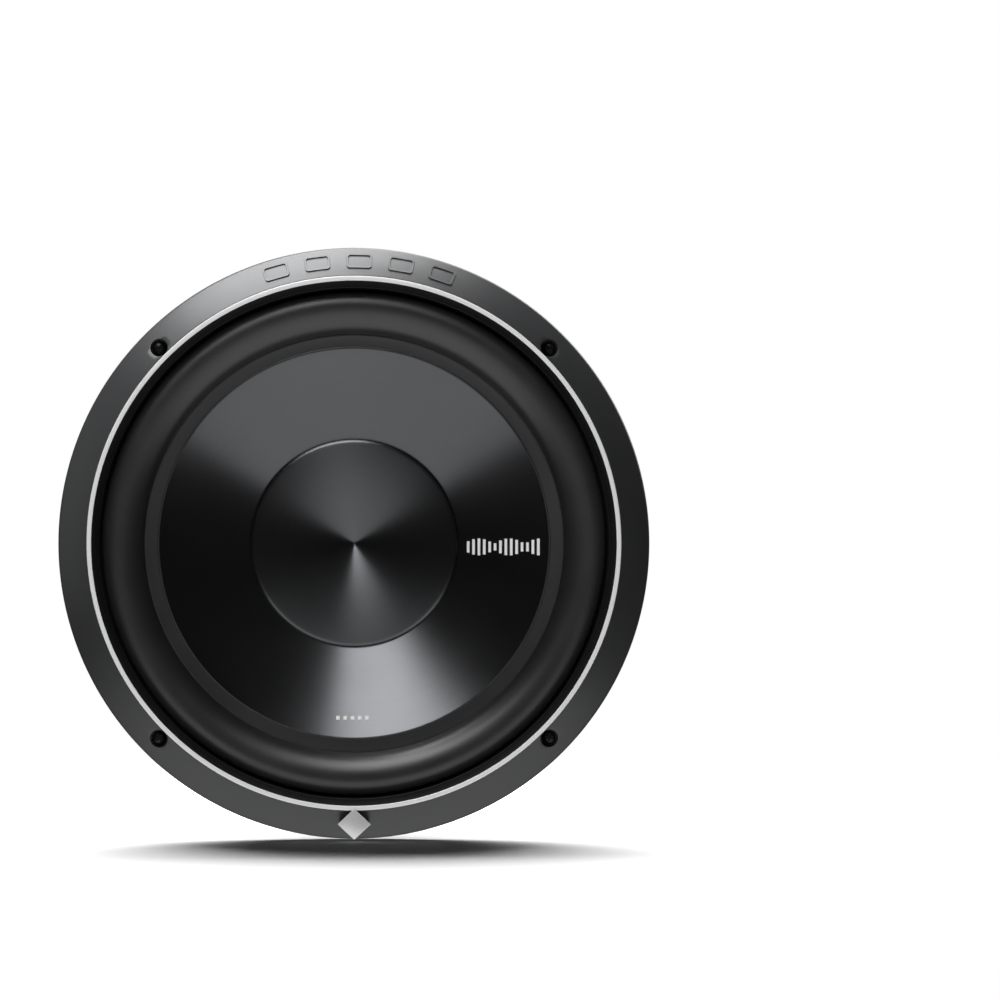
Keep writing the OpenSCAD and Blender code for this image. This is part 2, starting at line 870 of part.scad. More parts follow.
module lead(side, flip) {
  rings = len(lead_route);
  points = [for (i = [0:rings - 1]) each lead_ring(i)];
  walls = [
    for (i = [0:rings - 2], k = [0:lead_sides - 1])
      let (n = (k + 1) % lead_sides)
      [
        i * lead_sides + k, i * lead_sides + n,
        (i + 1) * lead_sides + n, (i + 1) * lead_sides + k
      ]
  ];
  ends = [
    [for (k = [lead_sides - 1:-1:0]) k],
    [for (k = [0:lead_sides - 1]) (rings - 1) * lead_sides + k]
  ];
  color("sienna") facing() rotate([0, 0, side]) mirror([0, flip, 0])
    polyhedron(points, concat(walls, ends));
}

basket();
mounting_gasket();
trim_ring();
accent_ring();
badge_plate();
mounting_screws();
surround_clamp_ring();
surround();
cone();
dust_cap();
former();
winding_inner();
winding_outer();
former_collar();
spider();
top_plate();
motor_bolts();
magnet_front();
magnet_rear();
yoke();
shorting_sleeve();
magnet_boot();
vent_screen();
terminal_block(0);  // terminal_block_right
terminal_block(180);  // terminal_block_left
terminal_tabs(0);  // terminal_tabs_right
terminal_tabs(180);  // terminal_tabs_left
terminal_screws();
button(0, 1);  // button_right_upper
button(0, -1);  // button_right_lower
button(180, -1);  // button_left_upper
button(180, 1);  // button_left_lower
button_spring(0, 1);  // spring_right_upper
button_spring(0, -1);  // spring_right_lower
button_spring(180, -1);  // spring_left_upper
button_spring(180, 1);  // spring_left_lower
lead(0, 0);  // lead_right_upper
lead(0, 1);  // lead_right_lower
lead(180, 1);  // lead_left_upper
lead(180, 0);  // lead_left_lower
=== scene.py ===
import math

import bpy
from mathutils import Matrix, Vector
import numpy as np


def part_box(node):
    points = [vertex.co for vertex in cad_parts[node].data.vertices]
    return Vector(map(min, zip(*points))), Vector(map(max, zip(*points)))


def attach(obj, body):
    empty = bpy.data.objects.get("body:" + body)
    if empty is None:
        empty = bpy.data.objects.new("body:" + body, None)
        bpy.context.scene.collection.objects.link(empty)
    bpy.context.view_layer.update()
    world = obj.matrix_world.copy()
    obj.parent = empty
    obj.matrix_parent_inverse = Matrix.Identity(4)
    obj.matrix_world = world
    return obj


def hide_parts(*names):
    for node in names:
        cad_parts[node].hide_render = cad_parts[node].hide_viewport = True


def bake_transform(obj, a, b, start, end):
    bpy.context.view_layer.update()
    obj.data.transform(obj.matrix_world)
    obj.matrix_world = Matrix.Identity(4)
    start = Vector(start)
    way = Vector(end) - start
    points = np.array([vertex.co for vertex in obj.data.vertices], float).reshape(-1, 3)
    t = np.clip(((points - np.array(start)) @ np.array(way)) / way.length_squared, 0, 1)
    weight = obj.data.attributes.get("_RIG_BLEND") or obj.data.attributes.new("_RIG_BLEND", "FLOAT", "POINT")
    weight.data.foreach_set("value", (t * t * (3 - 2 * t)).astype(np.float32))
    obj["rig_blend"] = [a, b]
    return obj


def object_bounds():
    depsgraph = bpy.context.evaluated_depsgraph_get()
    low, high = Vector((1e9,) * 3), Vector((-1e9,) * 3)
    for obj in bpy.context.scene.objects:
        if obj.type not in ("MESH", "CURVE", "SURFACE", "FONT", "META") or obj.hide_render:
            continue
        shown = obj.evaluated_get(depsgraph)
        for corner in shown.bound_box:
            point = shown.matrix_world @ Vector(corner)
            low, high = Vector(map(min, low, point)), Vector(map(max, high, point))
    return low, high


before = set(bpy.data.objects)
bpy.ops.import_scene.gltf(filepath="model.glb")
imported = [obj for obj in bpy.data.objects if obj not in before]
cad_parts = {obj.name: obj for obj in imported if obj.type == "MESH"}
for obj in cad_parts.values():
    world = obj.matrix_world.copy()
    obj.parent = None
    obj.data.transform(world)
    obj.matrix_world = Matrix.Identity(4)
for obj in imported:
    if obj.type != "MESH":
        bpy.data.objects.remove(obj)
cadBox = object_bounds()
mm = 0.001
scene = bpy.context.scene

# The driver's axis is the Y axis and its front faces -Y. A profile point is (radius, forward):
# forward is counted from the mounting plane towards the listener.


# Camera, floor and light

view = {
    "distance": 3.005,      # from the mounting plane to the lens
    "lens": 196,
    "sensor": 36,
    "turn": 1.533,          # degrees to the right of the driver's axis
    "tilt": 0.4536,         # degrees upwards
}
cameraData = bpy.data.cameras.new("camera")
cameraData.lens = view["lens"]
cameraData.sensor_width = view["sensor"]
cameraData.clip_end = 100
camera = bpy.data.objects.new("camera", cameraData)
camera.location = (0, -view["distance"], 0)
camera.rotation_euler = (math.radians(90 + view["tilt"]), 0, math.radians(-view["turn"]))
scene.collection.objects.link(camera)
scene.camera = camera
scene.view_settings.view_transform = "Standard"
print("camera placed")


def softbox(name, size, place, aim, power, tint=(1, 1, 1)):
    data = bpy.data.lights.new(name, "AREA")
    data.shape = "RECTANGLE"
    data.size, data.size_y = size
    data.energy = power
    data.color = tint
    light = bpy.data.objects.new(name, data)
    light.location = place
    light.rotation_euler = (Vector(aim) - Vector(place)).to_track_quat("-Z", "Y").to_euler()
    light.visible_camera = False
    scene.collection.objects.link(light)
    return light


# Each softbox is aimed at the driver; "glow" is how bright its face looks
lights = {
    "key": {"size": (1.0, 1.4), "place": (-0.3, -1.41, 1.65), "glow": 6.0},
    "top": {"size": (1.7, 1.0), "place": (-0.3, 0.36, 1.6), "glow": 11},
    "under": {"size": (3.2, 6.2), "place": (0, -2.6, -1.0), "glow": 1.0},
    "left": {"size": (0.5, 1.6), "place": (-2.4, 0.3, 0.3), "glow": 1.0},
    "rear": {"size": (2.4, 1.6), "place": (0.9, 2.4, 1.1), "glow": 1.5},
}
aims = {"under": (0, -2.6, 0)}
for lightName, light in lights.items():
    softbox(
        lightName + "Softbox", light["size"], light["place"], aims.get(lightName, (0, 0, 0)),
        light["glow"] * math.pi * light["size"][0] * light["size"][1]
    )
floorLight = {"size": (2.6, 1.8), "place": (-0.1, 1.5, 1.35), "glow": 18}

# White for the camera, dim for everything the driver reflects
backdrop = {"seen": 1.0, "reflected": 0.02}
world = bpy.data.worlds.new("studio")
scene.world = world
world.use_nodes = True
worldNodes = world.node_tree.nodes
worldNodes.clear()
seen = worldNodes.new("ShaderNodeLightPath")
bright = worldNodes.new("ShaderNodeBackground")
dim = worldNodes.new("ShaderNodeBackground")
choose = worldNodes.new("ShaderNodeMixShader")
worldOut = worldNodes.new("ShaderNodeOutputWorld")
bright.inputs["Color"].default_value = (1, 1, 1, 1)
bright.inputs["Strength"].default_value = backdrop["seen"]
dim.inputs["Color"].default_value = (1, 1, 1, 1)
dim.inputs["Strength"].default_value = backdrop["reflected"]
world.node_tree.links.new(seen.outputs["Is Camera Ray"], choose.inputs[0])
world.node_tree.links.new(dim.outputs[0], choose.inputs[1])
world.node_tree.links.new(bright.outputs[0], choose.inputs[2])
world.node_tree.links.new(choose.outputs[0], worldOut.inputs["Surface"])

floorSet = {
    "size": 30,
    "colour": (0.8, 0.8, 0.805),
    "roughness": 0.7,
    "fadeFrom": 0.45,       # the lit floor turns into the plain backdrop between these distances
    "fadeTo": 1.1,
}
bpy.ops.object.select_all(action="DESELECT")
bpy.ops.mesh.primitive_plane_add(size=floorSet["size"], location=(0, 0, cadBox[0].z))
floor = bpy.context.object
floor.name = "floor"
floor.visible_glossy = False
floor.visible_diffuse = False
floor.visible_shadow = False
floorMaterial = bpy.data.materials.new("floorPaper")
floorMaterial.use_nodes = True
floor.data.materials.append(floorMaterial)
tree = floorMaterial.node_tree
paper = tree.nodes["Principled BSDF"]
paper.inputs["Base Color"].default_value = (*floorSet["colour"], 1)
paper.inputs["Roughness"].default_value = floorSet["roughness"]
paper.inputs["Specular IOR Level"].default_value = 0.0
spotOnFloor = tree.nodes.new("ShaderNodeTexCoord")
away = tree.nodes.new("ShaderNodeVectorMath")
away.operation = "LENGTH"
fade = tree.nodes.new("ShaderNodeMapRange")
fade.interpolation_type = "SMOOTHSTEP"
fade.inputs["From Min"].default_value = floorSet["fadeFrom"]
fade.inputs["From Max"].default_value = floorSet["fadeTo"]
plain = tree.nodes.new("ShaderNodeEmission")
plain.inputs["Strength"].default_value = 1.0
blendIn = tree.nodes.new("ShaderNodeMixShader")
tree.links.new(spotOnFloor.outputs["Object"], away.inputs[0])
tree.links.new(away.outputs["Value"], fade.inputs["Value"])
tree.links.new(fade.outputs["Result"], blendIn.inputs[0])
tree.links.new(paper.outputs[0], blendIn.inputs[1])
tree.links.new(plain.outputs[0], blendIn.inputs[2])
tree.links.new(blendIn.outputs[0], tree.nodes["Material Output"].inputs["Surface"])

# The softboxes light the driver only, and the floor has a light of its own
for light in [item for item in scene.objects if item.type == "LIGHT"]:
    lit = bpy.data.collections.new(light.name + "Lit")
    lit.objects.link(floor)
    lit.collection_objects[0].light_linking.link_state = "EXCLUDE"
    light.light_linking.receiver_collection = lit
floorLamp = softbox(
    "floorSoftbox", floorLight["size"], floorLight["place"], (0, 0, -0.1),
    floorLight["glow"] * math.pi * floorLight["size"][0] * floorLight["size"][1]
)
onlyFloor = bpy.data.collections.new("onlyFloor")
onlyFloor.objects.link(floor)
onlyFloor.collection_objects[0].light_linking.link_state = "INCLUDE"
floorLamp.light_linking.receiver_collection = onlyFloor
print("floor and light placed")


# Modelling steps

def deselectAll():
    if bpy.context.mode != "OBJECT":
        bpy.ops.object.mode_set(mode="OBJECT")
    bpy.ops.object.select_all(action="DESELECT")


def workOn(piece):
    deselectAll()
    piece.select_set(True)
    bpy.context.view_layer.objects.active = piece


def editAll(piece):
    workOn(piece)
    bpy.ops.object.mode_set(mode="EDIT")
    bpy.ops.mesh.select_all(action="SELECT")


def tidyMesh(piece, gap=1e-6):
    editAll(piece)
    bpy.ops.mesh.remove_doubles(threshold=gap)
    bpy.ops.mesh.normals_make_consistent(inside=False)
    bpy.ops.object.mode_set(mode="OBJECT")


def smoothBy(piece, degrees):
    workOn(piece)
    bpy.ops.object.shade_smooth_by_angle(angle=math.radians(degrees))


def settle(piece):
    workOn(piece)
    bpy.ops.object.transform_apply(location=True, rotation=True, scale=True)


def applyModifier(piece, kind, **settings):
    workOn(piece)
    bpy.ops.object.modifier_add(type=kind)
    modifier = piece.modifiers[-1]
    for setting, value in settings.items():
        setattr(modifier, setting, value)
    bpy.ops.object.modifier_apply(modifier=modifier.name)


def combine(piece, tool, how):
    applyModifier(piece, "BOOLEAN", operation=how, solver="EXACT", object=tool)
    bpy.data.objects.remove(tool, do_unlink=True)


def bevelEdges(piece, width, segments=2, degrees=35):
    applyModifier(
        piece, "BEVEL", width=width, segments=segments, limit_method="ANGLE",
        angle_limit=math.radians(degrees), harden_normals=False
    )


def copyOf(piece, name, move):
    made = piece.copy()
    made.data = piece.data.copy()
    made.name = name
    made.data.transform(move)
    scene.collection.objects.link(made)
    return made


def joinAll(pieces, name):
    deselectAll()
    for piece in pieces:
        piece.select_set(True)
    bpy.context.view_layer.objects.active = pieces[0]
    if len(pieces) > 1:
        bpy.ops.object.join()
    pieces[0].name = name
    return pieces[0]


def arc(centre, radii, fromDeg, toDeg, count):
    turn = math.radians(toDeg - fromDeg)
    start = math.radians(fromDeg)
    return [
        (
            centre[0] + radii[0] * math.cos(start + turn * i / count),
            centre[1] + radii[1] * math.sin(start + turn * i / count),
        )
        for i in range(count + 1)
    ]


# Turns the corners of a closed outline into arcs; a corner is (x, y) or (x, y, radius)
def roundCorners(outline, steps=4):
    made = []
    for i, corner in enumerate(outline):
        here = Vector(corner[:2])
        before = (Vector(outline[i - 1][:2]) - here).normalized()
        after = (Vector(outline[(i + 1) % len(outline)][:2]) - here).normalized()
        half = before.angle(after) / 2
        if len(corner) < 3 or half > math.radians(88):
            made.append(tuple(here))
            continue
        size = corner[2]
        middle = here + (before + after).normalized() * (size / math.sin(half))
        first = here + before * (size / math.tan(half)) - middle
        last = here + after * (size / math.tan(half)) - middle
        for k in range(steps + 1):
            way = (first * (1 - k / steps) + last * (k / steps)).normalized()
            made.append(tuple(middle + way * size))
    return made


# Draws a line through points, vertex by vertex, and stays in edit mode
def drawPath(name, points):
    deselectAll()
    bpy.ops.mesh.primitive_plane_add(size=0.01)
    piece = bpy.context.object
    piece.name = name
    bpy.ops.object.mode_set(mode="EDIT")
    bpy.ops.mesh.select_mode(type="VERT")
    bpy.ops.mesh.select_all(action="SELECT")
    bpy.ops.mesh.merge(type="CENTER")
    bpy.ops.transform.translate(value=points[0])
    for here, there in zip(points, points[1:]):
        step = Vector(there) - Vector(here)
        bpy.ops.mesh.extrude_vertices_move(TRANSFORM_OT_translate={"value": step})
    bpy.ops.mesh.select_all(action="SELECT")
    return piece


# Spins a profile round the driver's axis
def turned(name, profile, steps=256, closed=True):
    path = profile + profile[:1] if closed else profile
    piece = drawPath(name, [(r, -forward, 0) for r, forward in path])
    bpy.ops.mesh.spin(steps=steps, angle=math.tau, center=(0, 0, 0), axis=(0, 1, 0))
    bpy.ops.object.mode_set(mode="OBJECT")
    tidyMesh(piece)
    return piece


# A closed flat outline, pushed along a step
def pushed(name, points, step):
    piece = drawPath(name, points)
    bpy.ops.mesh.edge_face_add()
    bpy.ops.mesh.select_all(action="SELECT")
    bpy.ops.mesh.extrude_region_move(TRANSFORM_OT_translate={"value": step})
    bpy.ops.object.mode_set(mode="OBJECT")
    tidyMesh(piece)
    return piece


# An outline in the front plane, pushed from back to front
def slab(name, outline, back, front):
    return pushed(name, [(x, -back, z) for x, z in outline], (0, back - front, 0))


# A round bar between two points
def rod(name, radius, start, end, sides=64):
    start, end = Vector(start), Vector(end)
    deselectAll()
    bpy.ops.mesh.primitive_cylinder_add(vertices=sides, radius=radius, depth=(end - start).length)
    piece = bpy.context.object
    piece.name = name
    piece.rotation_euler = (end - start).to_track_quat("Z", "Y").to_euler()
    piece.location = (start + end) / 2
    settle(piece)
    return piece


# A round bar along the driver's axis, from back to front
def bar(name, radius, x, z, back, front, sides=64):
    return rod(name, radius, (x, -back, z), (x, -front, z), sides)


# One full turn after another of a closed section, along the driver's axis
def wound(name, section, pitch, turns, steps):
    piece = drawPath(name, [(r, -forward, 0) for r, forward in section + section[:1]])
    bpy.ops.object.mode_set(mode="OBJECT")
    tidyMesh(piece)
    applyModifier(
        piece, "SCREW", axis="Y", angle=math.tau, screw_offset=pitch, iterations=turns,
        steps=steps, render_steps=steps, use_merge_vertices=False
    )
    editAll(piece)
    bpy.ops.mesh.remove_doubles(threshold=1e-6)
    bpy.ops.mesh.select_all(action="DESELECT")
    bpy.ops.mesh.select_non_manifold()
    bpy.ops.mesh.fill_holes(sides=0)
    bpy.ops.object.mode_set(mode="OBJECT")
    tidyMesh(piece)
    return piece


def turnAbout(degrees):
    return Matrix.Rotation(math.radians(degrees), 4, "Y")


def paint(piece, material):
    piece.data.materials.clear()
    piece.data.materials.append(material)


def place(piece, body, slotName, *nodes):
    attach(piece, body)
    if nodes:
        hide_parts(*nodes)


# Radius, back and front of a node that is centred on the driver's axis
def reach(node):
    low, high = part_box(node)
    return high.x, -high.y, -low.y


def radial(x, z):
    return math.hypot(x, z)


# A point keeps to the frame at the radius rFixed and to the moving body at the radius rMoving
def blendByRadius(piece, body, rFixed, rMoving):
    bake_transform(piece, "frame", body, start=(rFixed, 0, 0), end=(rMoving, 0, 0))
    weights = piece.data.attributes["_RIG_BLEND"]
    for i, vertex in enumerate(piece.data.vertices):
        t = (radial(vertex.co.x, vertex.co.z) - rFixed) / (rMoving - rFixed)
        t = min(max(t, 0), 1)
        weights.data[i].value = t * t * (3 - 2 * t)


# Shared surface effects

def newGroup(name, inputs, outputs):
    group = bpy.data.node_groups.new(name, "ShaderNodeTree")
    for socket, kind, value in inputs:
        made = group.interface.new_socket(name=socket, in_out="INPUT", socket_type=kind)
        if value is not None:
            made.default_value = value
    for socket, kind in outputs:
        group.interface.new_socket(name=socket, in_out="OUTPUT", socket_type=kind)
    return group, group.nodes.new("NodeGroupInput"), group.nodes.new("NodeGroupOutput")


def addNode(tree, kind, values=None, **settings):
    node = tree.nodes.new(kind)
    for setting, value in settings.items():
        setattr(node, setting, value)
    for socket, value in (values or {}).items():
        node.inputs[socket].default_value = value
    return node


def addMath(tree, operation, first, second=None, third=None):
    node = tree.nodes.new("ShaderNodeMath")
    node.operation = operation
    for i, value in enumerate((first, second, third)):
        if value is None:
            continue
        if isinstance(value, (int, float)):
            node.inputs[i].default_value = value
        else:
            tree.links.new(value, node.inputs[i])
    return node.outputs[0]


floatSocket = "NodeSocketFloat"
vectorSocket = "NodeSocketVector"


def makeGrainGroup():
    group, start, end = newGroup(
        "fineGrain",
        [("Vector", vectorSocket, None), ("Size", floatSocket, 0.001), ("Detail", floatSocket, 3)],
        [("Value", floatSocket), ("Broad", floatSocket), ("Height", floatSocket)]
    )
    scale = addMath(group, "DIVIDE", 1, start.outputs["Size"])
    fine = addNode(group, "ShaderNodeTexNoise", {"Roughness": 0.55})
    group.links.new(start.outputs["Vector"], fine.inputs["Vector"])
    group.links.new(scale, fine.inputs["Scale"])
    group.links.new(start.outputs["Detail"], fine.inputs["Detail"])
    broad = addNode(group, "ShaderNodeTexNoise", {"Scale": 14, "Detail": 4, "Roughness": 0.6})
    group.links.new(start.outputs["Vector"], broad.inputs["Vector"])
    mixed = addMath(group, "MULTIPLY_ADD", fine.outputs["Fac"], 0.5, addMath(
        group, "MULTIPLY", broad.outputs["Fac"], 0.5))
    group.links.new(mixed, end.inputs["Value"])
    group.links.new(broad.outputs["Fac"], end.inputs["Broad"])
    group.links.new(fine.outputs["Fac"], end.inputs["Height"])
    return group


# Mask on sharp edges, for worn edges and for painted edge highlights
def makeEdgeWearAndHighlightGroup():
    group, start, end = newGroup(
        "edgeWearAndHighlight",
        [("Vector", vectorSocket, None), ("Radius", floatSocket, 0.0006), ("Patchiness", floatSocket, 0.5)],
        [("Mask", floatSocket)]
    )
    soft = addNode(group, "ShaderNodeBevel", samples=4)
    group.links.new(start.outputs["Radius"], soft.inputs["Radius"])
    true = addNode(group, "ShaderNodeNewGeometry")
    along = addNode(group, "ShaderNodeVectorMath", operation="DOT_PRODUCT")
    group.links.new(soft.outputs["Normal"], along.inputs[0])
    group.links.new(true.outputs["Normal"], along.inputs[1])
    edge = addNode(group, "ShaderNodeMapRange", {"From Min": 0.995, "From Max": 0.9})
    group.links.new(along.outputs["Value"], edge.inputs["Value"])
    patches = addNode(group, "ShaderNodeTexNoise", {"Scale": 160, "Detail": 4})
    group.links.new(start.outputs["Vector"], patches.inputs["Vector"])
    worn = addNode(group, "ShaderNodeMapRange", {"From Min": 0.35, "From Max": 0.65})
    group.links.new(patches.outputs["Fac"], worn.inputs["Value"])
    kept = addMath(group, "SUBTRACT", 1, start.outputs["Patchiness"])
    share = addMath(group, "MULTIPLY_ADD", worn.outputs["Result"], start.outputs["Patchiness"], kept)
    group.links.new(addMath(group, "MULTIPLY", edge.outputs["Result"], share), end.inputs["Mask"])
    return group


def makeDustGroup():
    group, start, end = newGroup(
        "settledDust",
        [("Vector", vectorSocket, None), ("Amount", floatSocket, 0.2)],
        [("Mask", floatSocket)]
    )
    facing = addNode(group, "ShaderNodeNewGeometry")
    parts = addNode(group, "ShaderNodeSeparateXYZ")
    group.links.new(facing.outputs["Normal"], parts.inputs[0])
    up = addNode(group, "ShaderNodeMapRange", {"From Min": -0.2, "From Max": 1})
    group.links.new(parts.outputs["Z"], up.inputs["Value"])
    specks = addNode(group, "ShaderNodeTexNoise", {"Scale": 900, "Detail": 3, "Roughness": 0.7})
    group.links.new(start.outputs["Vector"], specks.inputs["Vector"])
    found = addNode(group, "ShaderNodeMapRange", {"From Min": 0.5, "From Max": 0.75})
    group.links.new(specks.outputs["Fac"], found.inputs["Value"])
    both = addMath(group, "MULTIPLY", up.outputs["Result"], found.outputs["Result"])
    group.links.new(addMath(group, "MULTIPLY", both, start.outputs["Amount"]), end.inputs["Mask"])
    return group


def makeSpunGroup():
    group, start, end = newGroup(
        "spunLines",
        [("Vector", vectorSocket, None), ("Pitch", floatSocket, 0.0004)],
        [("Value", floatSocket), ("Height", floatSocket)]
    )
    parts = addNode(group, "ShaderNodeSeparateXYZ")
    group.links.new(start.outputs["Vector"], parts.inputs[0])
    squared = addMath(group, "MULTIPLY", parts.outputs["X"], parts.outputs["X"])
    summed = addMath(group, "MULTIPLY_ADD", parts.outputs["Z"], parts.outputs["Z"], squared)
    radius = addMath(group, "SQRT", summed)
    turns = addMath(group, "DIVIDE", radius, start.outputs["Pitch"])
    lines = addNode(group, "ShaderNodeTexNoise", {"Scale": 1, "Detail": 2}, noise_dimensions="1D")
    group.links.new(turns, lines.inputs["W"])
    broad = addNode(group, "ShaderNodeTexNoise", {"Scale": 0.06, "Detail": 3}, noise_dimensions="1D")
    group.links.new(turns, broad.inputs["W"])
    mixed = addMath(group, "MULTIPLY_ADD", lines.outputs["Fac"], 0.85, addMath(
        group, "MULTIPLY", broad.outputs["Fac"], 0.15))
    group.links.new(mixed, end.inputs["Value"])
    group.links.new(lines.outputs["Fac"], end.inputs["Height"])
    return group


def makeWeaveGroup():
    group, start, end = newGroup(
        "plainWeave",
        [("U", floatSocket, 0), ("V", floatSocket, 0)],
        [("Value", floatSocket), ("Height", floatSocket)]
    )
    u = addMath(group, "MULTIPLY", start.outputs["U"], math.pi)
    v = addMath(group, "MULTIPLY", start.outputs["V"], math.pi)
    warp = addMath(group, "ABSOLUTE", addMath(group, "SINE", u))
    weft = addMath(group, "ABSOLUTE", addMath(group, "SINE", v))
    over = addMath(group, "MULTIPLY", addMath(group, "COSINE", u), addMath(group, "COSINE", v))
    above = addMath(group, "GREATER_THAN", addMath(
        group, "MULTIPLY", addMath(group, "SINE", u), addMath(group, "SINE", v)), 0)
    first = addMath(group, "MULTIPLY", warp, above)
    second = addMath(group, "MULTIPLY", weft, addMath(group, "SUBTRACT", 1, above))
    height = addMath(group, "ADD", first, second)
    group.links.new(height, end.inputs["Height"])
    group.links.new(addMath(group, "MULTIPLY_ADD", over, 0.2, addMath(
        group, "MULTIPLY", height, 0.8)), end.inputs["Value"])
    return group


grainGroup = makeGrainGroup()
edgeWearAndHighlightGroup = makeEdgeWearAndHighlightGroup()
dustGroup = makeDustGroup()
spunGroup = makeSpunGroup()
weaveGroup = makeWeaveGroup()


def addGroup(tree, group, vector=None, **values):
    node = tree.nodes.new("ShaderNodeGroup")
    node.node_tree = group
    if vector is not None:
        tree.links.new(vector, node.inputs["Vector"])
    for socket, value in values.items():
        node.inputs[socket].default_value = value
    return node


def mixColour(tree, factor, first, second):
    node = tree.nodes.new("ShaderNodeMix")
    node.data_type = "RGBA"
    tree.links.new(factor, node.inputs["Factor"])
    for socket, value in ((6, first), (7, second)):
        if isinstance(value, tuple):
            node.inputs[socket].default_value = (*value, 1)
        else:
            tree.links.new(value, node.inputs[socket])
    return node.outputs[2]


def rangeOf(tree, value, low, high, fromLow=0.3, fromHigh=0.7):
    node = addNode(tree, "ShaderNodeMapRange", {
        "From Min": fromLow, "From Max": fromHigh, "To Min": low, "To Max": high})
    tree.links.new(value, node.inputs["Value"])
    return node.outputs["Result"]


dustColour = (0.32, 0.31, 0.29)
wearAndHighlightPatchiness = 0.55


# A finish from its settings: two colours, how rough, how grainy, how dusty, and how worn and lightened its
# edges are; on the trim paint the lighter edges are a painted highlight
def makeFinish(name, look):
    material = bpy.data.materials.new(name)
    material.use_nodes = True
    tree = material.node_tree
    shader = tree.nodes["Principled BSDF"]
    for socket, value in look.get("shader", {}).items():
        shader.inputs[socket].default_value = value
    spot = addNode(tree, "ShaderNodeTexCoord").outputs["Object"]
    grain = addGroup(tree, grainGroup, spot, Size=look["grain"])
    pattern, height = grain.outputs["Value"], grain.outputs["Height"]
    if "lines" in look:
        spun = addGroup(tree, spunGroup, spot, Pitch=look["lines"])
        pattern, height = spun.outputs["Value"], spun.outputs["Height"]
    if "weave" in look:
        parts = addNode(tree, "ShaderNodeSeparateXYZ")
        tree.links.new(spot, parts.inputs[0])
        weave = addGroup(tree, weaveGroup)
        for axis, socket in (("X", "U"), ("Z", "V")):
            count = addMath(tree, "DIVIDE", parts.outputs[axis], look["weave"])
            tree.links.new(count, weave.inputs[socket])
        pattern, height = weave.outputs["Value"], weave.outputs["Height"]
    colour = mixColour(tree, rangeOf(tree, pattern, 0, 1), *look["colours"])
    if "dust" in look:
        dust = addGroup(tree, dustGroup, spot, Amount=look["dust"])
        colour = mixColour(tree, dust.outputs["Mask"], colour, dustColour)
    # lighter colour along the edges: worn paint, and on the trim paint a painted highlight
    if "wearAndEdgeHighlight" in look:
        wearAndEdgeHighlight = addGroup(tree, edgeWearAndHighlightGroup, spot, Radius=look["wearAndEdgeHighlight"][0], Patchiness=wearAndHighlightPatchiness)
        share = addMath(tree, "MULTIPLY", wearAndEdgeHighlight.outputs["Mask"], look["wearAndEdgeHighlight"][1])
        colour = mixColour(tree, share, colour, look["wearAndEdgeHighlight"][2])
    tree.links.new(colour, shader.inputs["Base Color"])
    rough = rangeOf(tree, grain.outputs["Broad"], *look["rough"])
    tree.links.new(rough, shader.inputs["Roughness"])
    bump = addNode(tree, "ShaderNodeBump", {"Strength": look["bump"][0], "Distance": look["bump"][1]})
    tree.links.new(height, bump.inputs["Height"])
    tree.links.new(bump.outputs["Normal"], shader.inputs["Normal"])
    if "brushed" in look:
        shader.inputs["Anisotropic"].default_value = look["brushed"][0]
        shader.inputs["Anisotropic Rotation"].default_value = look["brushed"][1]
        tangent = addNode(tree, "ShaderNodeTangent", direction_type="RADIAL", axis="Y")
        tree.links.new(tangent.outputs["Tangent"], shader.inputs["Tangent"])
    return material


